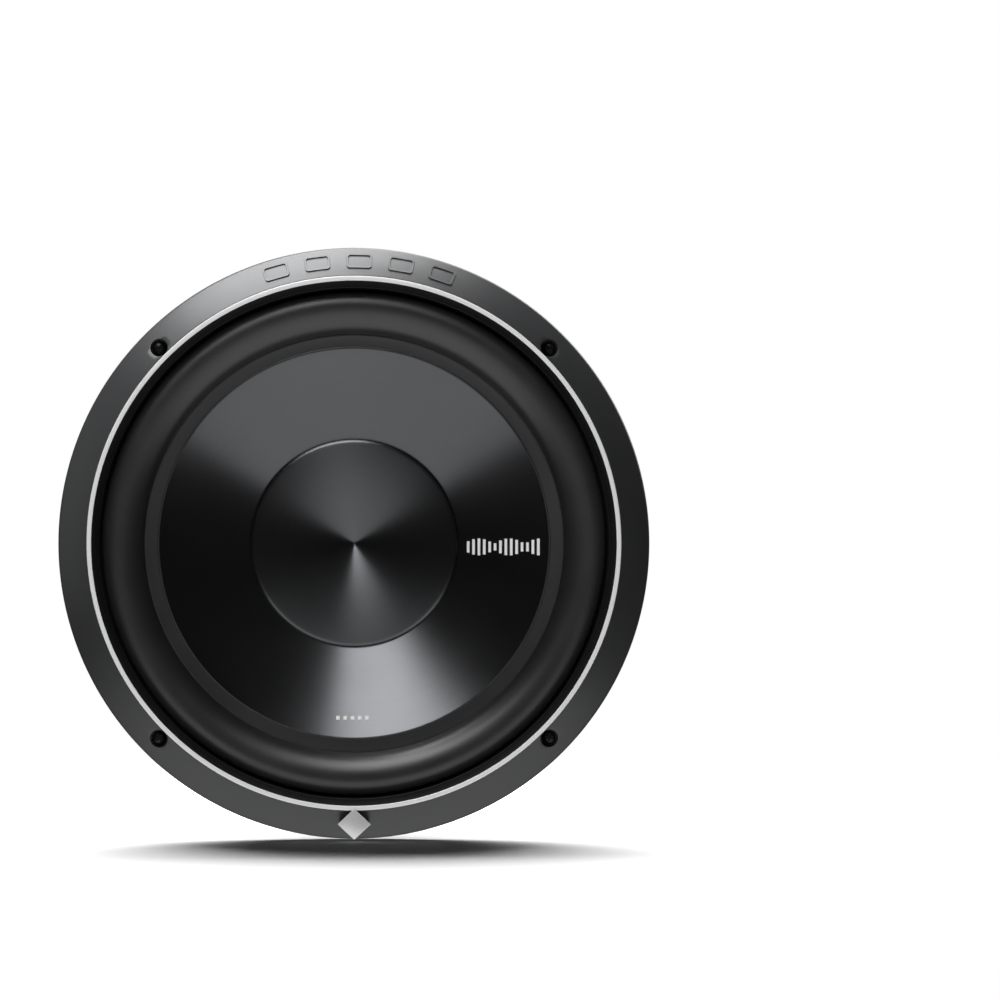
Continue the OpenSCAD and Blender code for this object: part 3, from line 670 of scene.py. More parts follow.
finishes = {
    "trimPaint": {
        "colours": ((0.040, 0.041, 0.043), (0.052, 0.053, 0.055)),
        "grain": 0.00045, "rough": (0.36, 0.44), "bump": (0.12, 0.0001),
        # the lighter edge colour here is a painted highlight along the ring's edges
        "wearAndEdgeHighlight": (0.0005, 0.5, (0.11, 0.11, 0.115)), "dust": 0.03,
        "shader": {"Metallic": 0.35, "Specular IOR Level": 0.6},
    },
    # near-black plastic; on the trim ring's throat it is painted shade for the deep recess
    "blackPlasticAndThroatShade": {
        "colours": ((0.003, 0.003, 0.003), (0.006, 0.006, 0.006)),
        "grain": 0.0004, "rough": (0.5, 0.6), "bump": (0.12, 0.0001),
    },
    "satinSteel": {
        "colours": ((0.9, 0.9, 0.9), (0.97, 0.97, 0.97)), "lines": 0.00012,
        "grain": 0.0006, "rough": (0.42, 0.5), "bump": (0.08, 0.00005),
        "shader": {"Metallic": 0.2},
    },
    "badgeSilver": {
        "colours": ((0.82, 0.82, 0.83), (0.93, 0.93, 0.94)),
        "grain": 0.0004, "rough": (0.3, 0.4), "bump": (0.08, 0.00005),
        "shader": {"Metallic": 0.55},
    },
    "blackedScrew": {
        "colours": ((0.012, 0.012, 0.013), (0.03, 0.03, 0.032)),
        "grain": 0.0003, "rough": (0.26, 0.38), "bump": (0.15, 0.00006),
        "wearAndEdgeHighlight": (0.0003, 0.6, (0.2, 0.2, 0.205)),
        "shader": {"Metallic": 0.7},
    },
    "surroundRubber": {
        "colours": ((0.008, 0.008, 0.009), (0.014, 0.014, 0.015)),
        "grain": 0.0005, "rough": (0.34, 0.41), "bump": (0.16, 0.0001), "dust": 0.04,
        "shader": {"Specular IOR Level": 0.8},
    },
    "anodisedCone": {
        "colours": ((0.098, 0.1, 0.105), (0.114, 0.116, 0.121)), "lines": 0.00016,
        "grain": 0.0005, "rough": (0.28, 0.33), "bump": (0.04, 0.00003),
        "shader": {"Metallic": 1.0},
        "brushed": (0.8, 0.25),
    },
    "powderCoat": {
        "colours": ((0.014, 0.014, 0.015), (0.028, 0.028, 0.029)),
        "grain": 0.0007, "rough": (0.4, 0.52), "bump": (0.35, 0.00022),
        "wearAndEdgeHighlight": (0.0006, 0.35, (0.16, 0.16, 0.165)), "dust": 0.12,
    },
    "foamSkin": {
        "colours": ((0.010, 0.010, 0.010), (0.022, 0.022, 0.022)),
        "grain": 0.0006, "rough": (0.85, 0.95), "bump": (0.7, 0.0004), "dust": 0.12,
    },
    "spiderWeave": {
        "colours": ((0.30, 0.19, 0.075), (0.46, 0.31, 0.13)),
        "grain": 0.0008, "rough": (0.7, 0.85), "bump": (0.8, 0.0002), "dust": 0.1,
        "weave": 0.0009,
    },
    "blackedSteel": {
        "colours": ((0.018, 0.018, 0.020), (0.04, 0.04, 0.043)), "lines": 0.0005,
        "grain": 0.0008, "rough": (0.28, 0.42), "bump": (0.25, 0.00008),
        "wearAndEdgeHighlight": (0.0006, 0.5, (0.25, 0.25, 0.26)), "dust": 0.1,
        "shader": {"Metallic": 0.75},
    },
    "bootRubber": {
        "colours": ((0.008, 0.008, 0.009), (0.016, 0.016, 0.017)),
        "grain": 0.0006, "rough": (0.5, 0.64), "bump": (0.35, 0.0002), "dust": 0.2,
    },
    "brightZinc": {
        "colours": ((0.45, 0.45, 0.46), (0.62, 0.62, 0.6)),
        "grain": 0.0008, "rough": (0.26, 0.42), "bump": (0.12, 0.0001),
        "shader": {"Metallic": 1.0},
    },
    "screenWire": {
        "colours": ((0.22, 0.22, 0.225), (0.4, 0.4, 0.4)),
        "grain": 0.0004, "rough": (0.3, 0.45), "bump": (0.15, 0.00005),
        "shader": {"Metallic": 1.0},
    },
    "terminalPlastic": {
        "colours": ((0.010, 0.010, 0.011), (0.019, 0.019, 0.020)),
        "grain": 0.0005, "rough": (0.42, 0.55), "bump": (0.3, 0.00012),
        "wearAndEdgeHighlight": (0.0004, 0.3, (0.08, 0.08, 0.08)), "dust": 0.1,
    },
    "redButton": {
        "colours": ((0.36, 0.012, 0.012), (0.47, 0.022, 0.018)),
        "grain": 0.0008, "rough": (0.26, 0.36), "bump": (0.1, 0.00006),
    },
    "blackButton": {
        "colours": ((0.010, 0.010, 0.010), (0.020, 0.020, 0.021)),
        "grain": 0.0008, "rough": (0.26, 0.36), "bump": (0.1, 0.00006),
    },
    "springSteel": {
        "colours": ((0.42, 0.42, 0.43), (0.6, 0.6, 0.6)),
        "grain": 0.0004, "rough": (0.22, 0.34), "bump": (0.1, 0.00004),
        "shader": {"Metallic": 1.0},
    },
    "leadBraid": {
        "colours": ((0.5, 0.27, 0.15), (0.72, 0.44, 0.26)),
        "grain": 0.0003, "rough": (0.3, 0.45), "bump": (0.3, 0.00005),
        "shader": {"Metallic": 1.0},
    },
    "amberFilm": {
        "colours": ((0.26, 0.10, 0.018), (0.38, 0.17, 0.035)),
        "grain": 0.0009, "rough": (0.2, 0.34), "bump": (0.1, 0.0001),
    },
    "copperWire": {
        "colours": ((0.42, 0.16, 0.07), (0.6, 0.27, 0.12)),
        "grain": 0.0005, "rough": (0.25, 0.4), "bump": (0.5, 0.0002),
        "shader": {"Metallic": 0.9},
    },
    "turnedCopper": {
        "colours": ((0.66, 0.3, 0.18), (0.8, 0.42, 0.28)), "lines": 0.0004,
        "grain": 0.0006, "rough": (0.24, 0.36), "bump": (0.2, 0.00006),
        "shader": {"Metallic": 1.0},
    },
    "ferrite": {
        "colours": ((0.035, 0.035, 0.037), (0.065, 0.065, 0.067)),
        "grain": 0.0012, "rough": (0.5, 0.68), "bump": (0.3, 0.0002), "dust": 0.1,
    },
    "tinnedBrass": {
        "colours": ((0.6, 0.44, 0.2), (0.75, 0.62, 0.4)),
        "grain": 0.0007, "rough": (0.25, 0.4), "bump": (0.15, 0.00008),
        "shader": {"Metallic": 1.0},
    },
    "whiteInk": {
        "colours": ((0.9, 0.9, 0.9), (0.98, 0.98, 0.98)),
        "grain": 0.0003, "rough": (0.42, 0.55), "bump": (0.1, 0.00003),
    },
}
paints = {name: makeFinish(name, look) for name, look in finishes.items()}
print("finishes mixed:", len(paints))


# Trim ring

outerR, trimBack, trimTop = reach("trim_ring")
accentR, accentBack, accentTop = reach("accent_ring")
flangeR = reach("basket")[0]
screwLow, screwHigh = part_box("mounting_screws")

trim = {
    "fitGap": 0.2 * mm,
    "sideHeight": 9 * mm,
    "sideFlare": 1 * mm,
    "edgeRound": 0.55 * mm,
    "land": 0.4 * mm,
    "crown": 0.5 * mm,
    "faceSteps": 18,
    "lip": 2.5 * mm,             # width of the seat for the bright ring
    "throatFoot": 13.3 * mm,     # where the ring meets the clamp ring
    "throatLean": 3.2 * mm,
    "flangeTop": 3.7 * mm,
    "wall": 2.4 * mm,
    "wellRadius": 4.9 * mm,
    "headHeight": 2.9 * mm,
    "wellLip": 0.3 * mm,
    "holeRadius": 2.9 * mm,     # clearance for a screw
    "bossWall": 2.4 * mm,
}
landZ = trimTop - 1.2 * mm
frontR = accentR - trim["lip"]
edgeR = outerR - trim["sideFlare"]
footR = 143.4 * mm
screwR = (screwHigh.x - 3.8 * mm) * math.sqrt(2)
screwSpots = [
    (screwR * math.cos(math.radians(turn)), screwR * math.sin(math.radians(turn)))
    for turn in (45, 135, 225, 315)
]
wellFloor = -screwLow.y - trim["headHeight"]


# Forward place of the sloping face at a radius
def faceAt(r):
    s = (r - accentR - trim["land"]) / (edgeR - accentR - trim["land"])
    return landZ + s * (trim["sideHeight"] - landZ) + trim["crown"] * math.sin(math.pi * s)


def facePoints():
    first = accentR + trim["land"]
    steps = trim["faceSteps"]
    radii = [edgeR + (first - edgeR) * i / steps for i in range(steps + 1)]
    return [(r, faceAt(r)) for r in radii]


def makeTrimRing():
    face = facePoints()
    throatR = frontR - trim["throatLean"]
    outline = roundCorners([
        (flangeR + trim["fitGap"], trimBack, 0.15 * mm),
        (outerR, trimBack, 0.4 * mm),
        (*face[0], trim["edgeRound"]),
        *face[1:-1],
        (*face[-1], 0.15 * mm),
        (frontR, landZ, 0.2 * mm),
        (throatR, trim["throatFoot"], 0.3 * mm),
        (footR, trim["throatFoot"], 0.2 * mm),
        (footR, trim["flangeTop"], 0.2 * mm),
        (flangeR + trim["fitGap"], trim["flangeTop"], 0.2 * mm),
    ])
    ring = turned("trimRing", outline)

    # the moulding is hollow behind its face, except round the screws
    lean = (edgeR - accentR) / (landZ - trim["sideHeight"])
    inset = trim["wall"] * math.hypot(1, lean)
    inner = footR + trim["wall"]
    roof = [(r, landZ - (r + inset - accentR) / lean) for r in (flangeR, inner)]
    hollow = turned("hollow", [(inner, 2 * mm), (flangeR, 2 * mm), *roof])
    wells = []
    for x, z in screwSpots:
        boss = bar("boss", trim["wellRadius"] + trim["bossWall"], x, z, 0, landZ + 5 * mm)
        combine(hollow, boss, "DIFFERENCE")
        wells.append(bar("well", trim["wellRadius"], x, z, wellFloor, landZ + 5 * mm))
        wells.append(bar("hole", trim["holeRadius"], x, z, 0, landZ))
    combine(ring, hollow, "DIFFERENCE")
    for well in wells:
        combine(ring, well, "DIFFERENCE")
    breakWellEdges(ring)
    return ring


# A fine broken edge round the mouth of each well
def breakWellEdges(ring):
    onMouth = set()
    for vertex in ring.data.vertices:
        x, z = min(screwSpots, key=lambda spot: radial(vertex.co.x - spot[0], vertex.co.z - spot[1]))
        gap = radial(vertex.co.x - x, vertex.co.z - z) - trim["wellRadius"]
        if abs(gap) < 0.03 * mm and -vertex.co.y > wellFloor + mm:
            onMouth.add(vertex.index)
    workOn(ring)
    bpy.ops.object.mode_set(mode="EDIT")
    bpy.ops.mesh.select_mode(type="EDGE")
    bpy.ops.mesh.select_all(action="DESELECT")
    bpy.ops.object.mode_set(mode="OBJECT")
    for edge in ring.data.edges:
        edge.select = all(index in onMouth for index in edge.vertices)
    bpy.ops.object.mode_set(mode="EDIT")
    bpy.ops.mesh.bevel(offset=trim["wellLip"], segments=2, affect="EDGES")
    bpy.ops.object.mode_set(mode="OBJECT")


badge = {
    "width": 18.2 * mm,
    "height": 17.1 * mm,
    "cornerRound": 0.4 * mm,
    "pedestalInset": 0.5 * mm,
    "edge": 0.2 * mm,
}
badgeLow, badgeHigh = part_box("badge_plate")
badgeZ = (badgeLow.z + badgeHigh.z) / 2


def lozenge(name, width, height, cornerRound, back, front):
    corners = [(-width / 2, 0), (0, -height / 2), (width / 2, 0), (0, height / 2)]
    outline = roundCorners([(x, badgeZ + z, cornerRound) for x, z in corners], steps=5)
    return slab(name, outline, back, front)


def addPedestal(ring):
    inset = 2 * badge["pedestalInset"]
    block = lozenge(
        "pedestal", badge["width"] - inset, badge["height"] - inset, 0.6 * mm,
        trim["sideHeight"], trimTop
    )
    mouth = bar("mouth", accentR + trim["fitGap"], 0, 0, 0, trimTop + 5 * mm, sides=256)
    combine(block, mouth, "DIFFERENCE")
    combine(ring, block, "UNION")


tabs = {"count": 5, "stepAngle": 8.55, "radius": 154.8 * mm, "width": 14 * mm,
        "height": 8.4 * mm, "cornerRound": 1.6 * mm, "stroke": 1.15 * mm, "rise": 0.6 * mm,
        "sunk": 0.8 * mm, "firstAngle": -16.1}


# Five raised outlines at the top of the face, each a frame bent onto the slope
def addRaisedTabs(ring):
    for i in range(tabs["count"]):
        width, height = tabs["width"] / 2, tabs["height"] / 2
        corners = [(-width, -height), (width, -height), (width, height), (-width, height)]
        outer = slab(
            "tab", roundCorners([(*c, tabs["cornerRound"]) for c in corners], 4), 0, 1 * mm)
        width, height = width - tabs["stroke"], height - tabs["stroke"]
        corners = [(-width, -height), (width, -height), (width, height), (-width, height)]
        inner = slab(
            "tabHole",
            roundCorners([(*c, tabs["cornerRound"] - 0.6 * mm) for c in corners], 4),
            -1 * mm, 2 * mm)
        combine(outer, inner, "DIFFERENCE")
        bevelEdges(outer, 0.12 * mm, 1, 60)
        middle = math.radians(tabs["firstAngle"] + i * tabs["stepAngle"])
        for vertex in outer.data.vertices:
            u, v, raised = vertex.co.x, vertex.co.z, -vertex.co.y / mm
            r = tabs["radius"] + v
            turn = middle + u / tabs["radius"]
            lift = -tabs["sunk"] + raised * (tabs["sunk"] + tabs["rise"])
            f = faceAt(r) + lift * 0.66
            r = r + lift * 0.75
            vertex.co = (r * math.sin(turn), -f, r * math.cos(turn))
        combine(ring, outer, "UNION")


trimRing = makeTrimRing()
addPedestal(trimRing)
addRaisedTabs(trimRing)
tidyMesh(trimRing, 2e-5)
smoothBy(trimRing, 28)
paint(trimRing, paints["trimPaint"])
trimRing.data.materials.append(paints["blackPlasticAndThroatShade"])
# the inward throat faces get the near-black finish: painted shade in the recess behind the bright ring
for face in trimRing.data.polygons:
    inward = Vector((face.center.x, 0, face.center.z)).normalized().dot(face.normal) < -0.6
    if inward and radial(face.center.x, face.center.z) < frontR + 0.1 * mm:
        face.material_index = 1
place(trimRing, "frame", "trim_plastic", "trim_ring")
print("trim ring made")


# Bright ring and badge

accentRing = turned("accentRing", roundCorners([
    (frontR, accentBack, 0.1 * mm),
    (accentR, accentBack, 0.1 * mm),
    (accentR, accentTop, 0.3 * mm),
    (frontR, accentTop, 0.35 * mm),
]))
smoothBy(accentRing, 30)
paint(accentRing, paints["satinSteel"])
place(accentRing, "frame", "bright_trim", "accent_ring")


# A plain plate with a broken edge, and nothing drawn on it
def makeBadge():
    plate = lozenge(
        "badgePlate", badge["width"], badge["height"], badge["cornerRound"],
        -badgeHigh.y, -badgeLow.y
    )
    bevelEdges(plate, badge["edge"], 2, 50)
    smoothBy(plate, 30)
    paint(plate, paints["badgeSilver"])
    return plate


badgePlate = makeBadge()
place(badgePlate, "frame", "badge", "badge_plate")
print("bright ring and badge made")


# Surround and clamp ring

surroundR, surroundBack, surroundTop = reach("surround")
coneR, coneBack, coneTop = reach("cone")
clampR, clampBack, clampTop = reach("surround_clamp_ring")

surround = {
    "rubber": 1.5 * mm,
    "band": 6.8 * mm,           # stretch glued on the cone
    "roll": 23.7 * mm,
    "foot": 5.6 * mm,
    "footRound": 0.3 * mm,
    "rootRound": 0.9 * mm,
    "root": 1.3 * mm,           # from the band to where the roll rises
    "bead": 0.35 * mm,          # fine bead round the inner edge
    "beadWidth": 1.1 * mm,
    "bandDip": 0.95 * mm,       # the band falls this much towards the cone
    "crest": 7.4 * mm,          # from the roll's outer edge to its highest line
    "crown": 12 * mm,           # radius outside the crest
    "shoulder": 2 * mm,
    "wall": 0.3 * mm,           # how far the outer side stands past the roll's edge
    "steps": 20,
}
rollR = surroundR - surround["foot"]
bandR = rollR - surround["roll"]


# Half the section of the roll, from its inner root over the crest to its outer side
def rollLine(inset, startLift):
    crestR = rollR - surround["crest"]
    width = crestR - bandR - surround["root"] - inset
    height = surroundTop - surroundBack - inset
    crown, shoulder = surround["crown"], surround["shoulder"]
    middle = surroundTop - crown
    wallR = rollR + surround["wall"]
    turn = math.acos((wallR - shoulder - crestR) / (crown - shoulder))
    corner = (wallR - shoulder, middle + (crown - shoulder) * math.sin(turn))
    turn = math.degrees(turn)
    start = 180 - math.degrees(math.asin(startLift / height))
    steps = surround["steps"]
    return (
        arc((crestR, surroundBack), (width, height), start, 90, steps)
        + arc((crestR, middle), (crown - inset, crown - inset), 90, turn, steps)[1:]
        + arc(corner, (shoulder - inset, shoulder - inset), turn, 0, 6)[1:]
    )


def makeSurround():
    rubber, small = surround["rubber"], surround["footRound"]
    base, top = surroundBack, surroundBack + surround["rubber"]
    innerR = bandR - surround["band"]
    beadR = innerR + surround["beadWidth"]
    low = top - surround["bandDip"]
    over, under = rollLine(0, rubber), rollLine(rubber, 0.01 * mm)
    outline = roundCorners([
        (innerR, base),
        (innerR, low + surround["bead"], small),
        (beadR, low + surround["bead"], small),
        (beadR, low, 0.1 * mm),
        (over[0][0] - mm, top, surround["rootRound"]),
        *over,
        (over[-1][0], top, small),
        (surroundR, top, small),
        (surroundR, base, small / 2),
        (under[-1][0], base),
        *under[::-1],
        (bandR, base),
    ])
    return turned("surroundRoll", outline)


surroundRoll = makeSurround()
smoothBy(surroundRoll, 40)
paint(surroundRoll, paints["surroundRubber"])
blendByRadius(surroundRoll, "cone_assembly", rollR - 0.4 * mm, bandR + 0.2 * mm)
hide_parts("surround")

clamp = {"throatBack": 138.3 * mm, "throatFront": 140.44 * mm, "round": 0.5 * mm}
clampRing = turned("surroundClampRing", roundCorners([
    (clamp["throatBack"], clampBack, 0.3 * mm),
    (clampR, clampBack, 0.3 * mm),
    (clampR, clampTop, 0.3 * mm),
    (clamp["throatFront"], clampTop, clamp["round"]),
]))
smoothBy(clampRing, 30)
paint(clampRing, paints["blackPlasticAndThroatShade"])
place(clampRing, "frame", "black_plastic", "surround_clamp_ring")
print("surround and clamp ring made")


# Cone and dust cap

cone = {
    "slope": 25.3,
    "wall": 1.2 * mm,
    "rimWidth": 5.7 * mm,
    "neckIn": 32.35 * mm,
    "edgeRound": 1.2 * mm,
}
coneEdge = coneR - cone["rimWidth"]
slopeK = math.tan(math.radians(cone["slope"]))


# Forward place of the cone's front at a radius
def coneAt(r):
    return coneTop - (coneEdge - r) * slopeK


def makeCone():
    wall = cone["wall"]
    wallH = wall / math.cos(math.radians(cone["slope"]))
    neckIn = cone["neckIn"]
    neckOut = neckIn + wall
    return turned("coneShell", roundCorners([
        (coneR, coneTop, 0.3 * mm),
        (coneEdge, coneTop, cone["edgeRound"]),
        (neckOut, coneAt(neckOut), 0.3 * mm),
        (neckIn, coneAt(neckOut)),
        (neckIn, coneBack, 0.2 * mm),
        (neckOut, coneBack, 0.2 * mm),
        (neckOut, coneAt(neckOut) - wallH, 0.6 * mm),
        (coneEdge + wall * slopeK, coneTop - wall, cone["edgeRound"]),
        (coneR, coneTop - wall, 0.3 * mm),
    ]), steps=288)


coneShell = makeCone()
smoothBy(coneShell, 40)
paint(coneShell, paints["anodisedCone"])
place(coneShell, "cone_assembly", "anodised_cone", "cone")

capR = reach("dust_cap")[0]
cap = {
    "wall": 1 * mm,
    "rise": 1.7 * mm,
    "shoulder": 2.3 * mm,
    "dish": 8.6 * mm,
    "power": 1.85,
    "steps": 26,
}


# Front of the cap, from its foot over the shoulder and down into the hollow
def capFront(inward):
    foot = coneAt(capR) + 0.05 * mm
    shoulder = arc(
        (capR - cap["shoulder"], foot),
        (cap["shoulder"] - inward, cap["rise"] - inward), 0, 90, 10)
    span = capR - cap["shoulder"]
    hollow = []
    for i in range(1, cap["steps"] + 1):
        share = i / cap["steps"]
        depth = cap["dish"] * share ** cap["power"]
        hollow.append((span * (1 - share), foot + cap["rise"] - inward - depth))
    return shoulder + hollow


def makeDustCap():
    outline = capFront(0)[::-1] + capFront(cap["wall"])
    return turned("dustCap", outline, steps=288, closed=False)


dustCap = makeDustCap()
smoothBy(dustCap, 60)
paint(dustCap, paints["anodisedCone"])
place(dustCap, "cone_assembly", "anodised_cone", "dust_cap")
print("cone and dust cap made")


# Printed marks on the cone

ink = {
    "lift": 0.02 * mm,
    "thickness": 0.05 * mm,
    "levels": 14,
    "levelPlace": (82.4 * mm, -2.1 * mm),
    "levelPitch": 2.95 * mm,
    "levelWidth": 1.5 * mm,
    "levelLow": 3.4 * mm,
    "levelHigh": 9.4 * mm,
    "dots": 5,
    "dotPlace": (-1 * mm, -96.4 * mm),
    "dotSize": 2 * mm,
    "dotPitch": 4 * mm,
}


# A small patch of ink that follows the cone
def inkPatch(x, z, width, height):
    deselectAll()
    bpy.ops.mesh.primitive_grid_add(
        x_subdivisions=max(2, round(width / mm)), y_subdivisions=max(2, round(height / mm)),
        size=1, rotation=(math.radians(90), 0, 0)
    )
    patch = bpy.context.object
    patch.scale = (width, height, 1)
    patch.location = (x, 0, z)
    settle(patch)
    for vertex in patch.data.vertices:
        r = radial(vertex.co.x, vertex.co.z)
        vertex.co.y = -coneAt(r) - ink["lift"]
    return patch


def finishInk(patches, name):
    marks = joinAll(patches, name)
    workOn(marks)
    bpy.ops.object.mode_set(mode="EDIT")
    bpy.ops.mesh.select_all(action="SELECT")
    bpy.ops.mesh.normals_make_consistent(inside=False)
    bpy.ops.object.mode_set(mode="OBJECT")
    if marks.data.polygons[0].normal.y > 0:
        marks.data.flip_normals()
    applyModifier(marks, "SOLIDIFY", thickness=ink["thickness"], offset=1)
    paint(marks, paints["whiteInk"])
    place(marks, "cone_assembly", "white_print")
    return marks


# A row of level bars to the right of the dust cap
def makeLevelMarks():
    patches = []
    x0, z0 = ink["levelPlace"]
    for i in range(ink["levels"]):
        x = x0 + (i - (ink["levels"] - 1) / 2) * ink["levelPitch"]
        swing = abs(math.sin(0.55 * i + 0.5))
        height = ink["levelLow"] + (ink["levelHigh"] - ink["levelLow"]) * swing
        patches.append(inkPatch(x, z0, ink["levelWidth"], height))
    return finishInk(patches, "levelMarks")


# A short row of small squares below the dust cap
def makeDotMarks():
    x0, z0 = ink["dotPlace"]
    patches = []
    for i in range(ink["dots"]):
        x = x0 + (i - (ink["dots"] - 1) / 2) * ink["dotPitch"]
        patches.append(inkPatch(x, z0, ink["dotSize"], ink["dotSize"]))
    return finishInk(patches, "dotMarks")


makeLevelMarks()
makeDotMarks()
print("marks printed")


# Mounting screws

screw = {
    "headRadius": 3.8 * mm,
    "rim": 1.1 * mm,
    "shank": 1.9 * mm,
    "thread": 2.4 * mm,
    "threadTop": -0.6 * mm,
    "pitch": 1.7 * mm,
    "turns": 11,
    "tip": 4 * mm,
    "slotWidth": 1.1 * mm,
    "slotLength": 4.3 * mm,
    "slotDepth": 1.5 * mm,
    "slotTurn": 20,
}


def makeScrew():
    back, top, end = wellFloor, -screwLow.y, -screwHigh.y
    rimTop = back + screw["rim"]
    made = turned("screw", [
        *arc((0, rimTop), (screw["headRadius"], top - rimTop), 90, 8, 8),
        (screw["headRadius"], rimTop),
        (screw["headRadius"], back + 0.3 * mm),
        (screw["headRadius"] - 0.3 * mm, back),
        (screw["shank"], back),
        (screw["shank"], end + screw["tip"]),
        (0.3 * mm, end + 0.2 * mm),
        (0, end),
    ], steps=48, closed=False)
    half, arm = screw["slotWidth"] / 2, screw["slotLength"] / 2
    cross = [(half, half), (arm, half), (arm, -half), (half, -half), (half, -arm), (-half, -arm),
             (-half, -half), (-arm, -half), (-arm, half), (-half, half), (-half, arm), (half, arm)]
    turn = math.radians(screw["slotTurn"])
    cross = [
        (x * math.cos(turn) - z * math.sin(turn), x * math.sin(turn) + z * math.cos(turn))
        for x, z in cross
    ]
    recess = slab("recess", cross, top - screw["slotDepth"], top + mm)
    combine(made, recess, "DIFFERENCE")
    bevelEdges(made, 0.08 * mm, 1, 45)
    low = screw["threadTop"] - screw["pitch"] * screw["turns"] - 0.9 * mm
    thread = wound("thread", [
        (screw["shank"] - 0.15 * mm, low),
        (screw["thread"], low + 0.45 * mm),
        (screw["shank"] - 0.15 * mm, low + 0.9 * mm),
    ], -screw["pitch"], screw["turns"], 20)
    combine(made, thread, "UNION")
    smoothBy(made, 32)
    paint(made, paints["blackedScrew"])
    return made


firstScrew = makeScrew()
for i, (x, z) in enumerate(screwSpots):
    move = Matrix.Translation((x, 0, z))
    piece = copyOf(firstScrew, "mountingScrew" + str(i + 1), move @ turnAbout(37 * i))
    place(piece, "frame", "black_screw", "mounting_screws")
bpy.data.objects.remove(firstScrew, do_unlink=True)
print("mounting screws made")


# Spider

spiderR, spiderBack = reach("spider")[:2]
collarR = reach("former_collar")[0]
spider = {
    "cloth": 0.8 * mm,
    "rolls": 5,
    "wave": 3 * mm,
    "waveIn": 36.9 * mm,
    "waveOut": 73 * mm,
    "cuffGap": 0.75 * mm,
    "cuffHeight": 3.7 * mm,
    "pointsPerRoll": 14,
}


def makeSpider():
    middle = spiderBack + spider["wave"] + spider["cloth"] / 2
    count = spider["rolls"] * spider["pointsPerRoll"]
    span = spider["waveOut"] - spider["waveIn"]
    cuff = collarR + spider["cuffGap"]
    path = [(spiderR, middle), ((spiderR + spider["waveOut"]) / 2, middle)]
    for i in range(count + 1):
        share = 1 - i / count
        lift = spider["wave"] * math.sin(math.tau * spider["rolls"] * share)
        path.append((spider["waveIn"] + span * share, middle + lift))
    path += arc((cuff + 0.9 * mm, middle + 0.9 * mm), (0.9 * mm, 0.9 * mm), 270, 180, 5)
    path.append((cuff, middle + spider["cuffHeight"]))
    cloth = turned("spiderCloth", path, steps=200, closed=False)
    applyModifier(cloth, "SOLIDIFY", thickness=spider["cloth"], offset=0)
    return cloth


spiderCloth = makeSpider()
smoothBy(spiderCloth, 50)
paint(spiderCloth, paints["spiderWeave"])
blendByRadius(spiderCloth, "cone_assembly", spider["waveOut"] + 3 * mm, collarR + 2 * mm)
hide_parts("spider")
print("spider made")


# Basket

basket = {
    "sheet": 2 * mm,
    "gasket": 1.5 * mm,
    "collar": 9 * mm,
    "spigot": 138.8 * mm,
    "sill": 93 * mm,
    "shelf": -62 * mm,
    "neck": 76 * mm,
    "seat": -94 * mm,
    "seatIn": 44.3 * mm,
    "spokes": 8,
    "spokeWidth": 17 * mm,
    "windowTop": -15 * mm,
    "windowLow": -57 * mm,
    "windowRound": 6 * mm,
    "ventWidth": 16 * mm,
    "ventTop": -70 * mm,
    "ventLow": -86 * mm,
    "ventRound": 3 * mm,
    "tabRoot": 92.8 * mm,
    "tabLength": 22 * mm,
    "tabHalf": 24 * mm,
    "edge": 0.45 * mm,
    "ribRadius": 3 * mm,
}


def skirtAt(forward):
    low = basket["shelf"] - basket["sheet"]
    slope = (basket["spigot"] - basket["sill"]) / (-basket["collar"] - low)
    return basket["sill"] + slope * (forward - low)


def windowHalf(forward):
    r = skirtAt(forward)
    return r * math.sin(math.pi / basket["spokes"] - math.asin(basket["spokeWidth"] / 2 / r))


def makeBasketShell():
    sheet, neck = basket["sheet"], basket["neck"]
    low = basket["shelf"] - sheet
    slope = (basket["spigot"] - basket["sill"]) / (-basket["collar"] - low)
    skirt = sheet * math.hypot(1, slope)
    innerTop = low + (basket["spigot"] - sheet + skirt - basket["sill"]) / slope
    outline = roundCorners([
        (flangeR, basket["gasket"], 0.5 * mm),
        (basket["spigot"], basket["gasket"], 0.9 * mm),
        (basket["spigot"], -basket["collar"], 3.5 * mm),
        (basket["sill"], low, 3.5 * mm),
        (neck, low, 1.2 * mm),
        (neck, basket["seat"], 2.4 * mm),
        (basket["seatIn"], basket["seat"], 0.4 * mm),
        (basket["seatIn"], basket["seat"] + sheet, 0.4 * mm),
        (neck - sheet, basket["seat"] + sheet, 0.9 * mm),
        (neck - sheet, basket["shelf"], 2.4 * mm),
        (skirtAt(basket["shelf"]) - skirt, basket["shelf"], 1.2 * mm),
        (basket["spigot"] - sheet, innerTop, 1.8 * mm),
        (basket["spigot"] - sheet, basket["gasket"] + sheet, 2 * mm),
        (flangeR, basket["gasket"] + sheet, 0.5 * mm),
    ], steps=5)
    return turned("basketShell", outline, steps=192)


# A cutter that goes outwards from an inner radius, through an outline of (sideways, forward)
def outwardCutter(outline, inner, outer):
    return pushed("opening", [(inner, -f, side) for side, f in outline], (outer - inner, 0, 0))


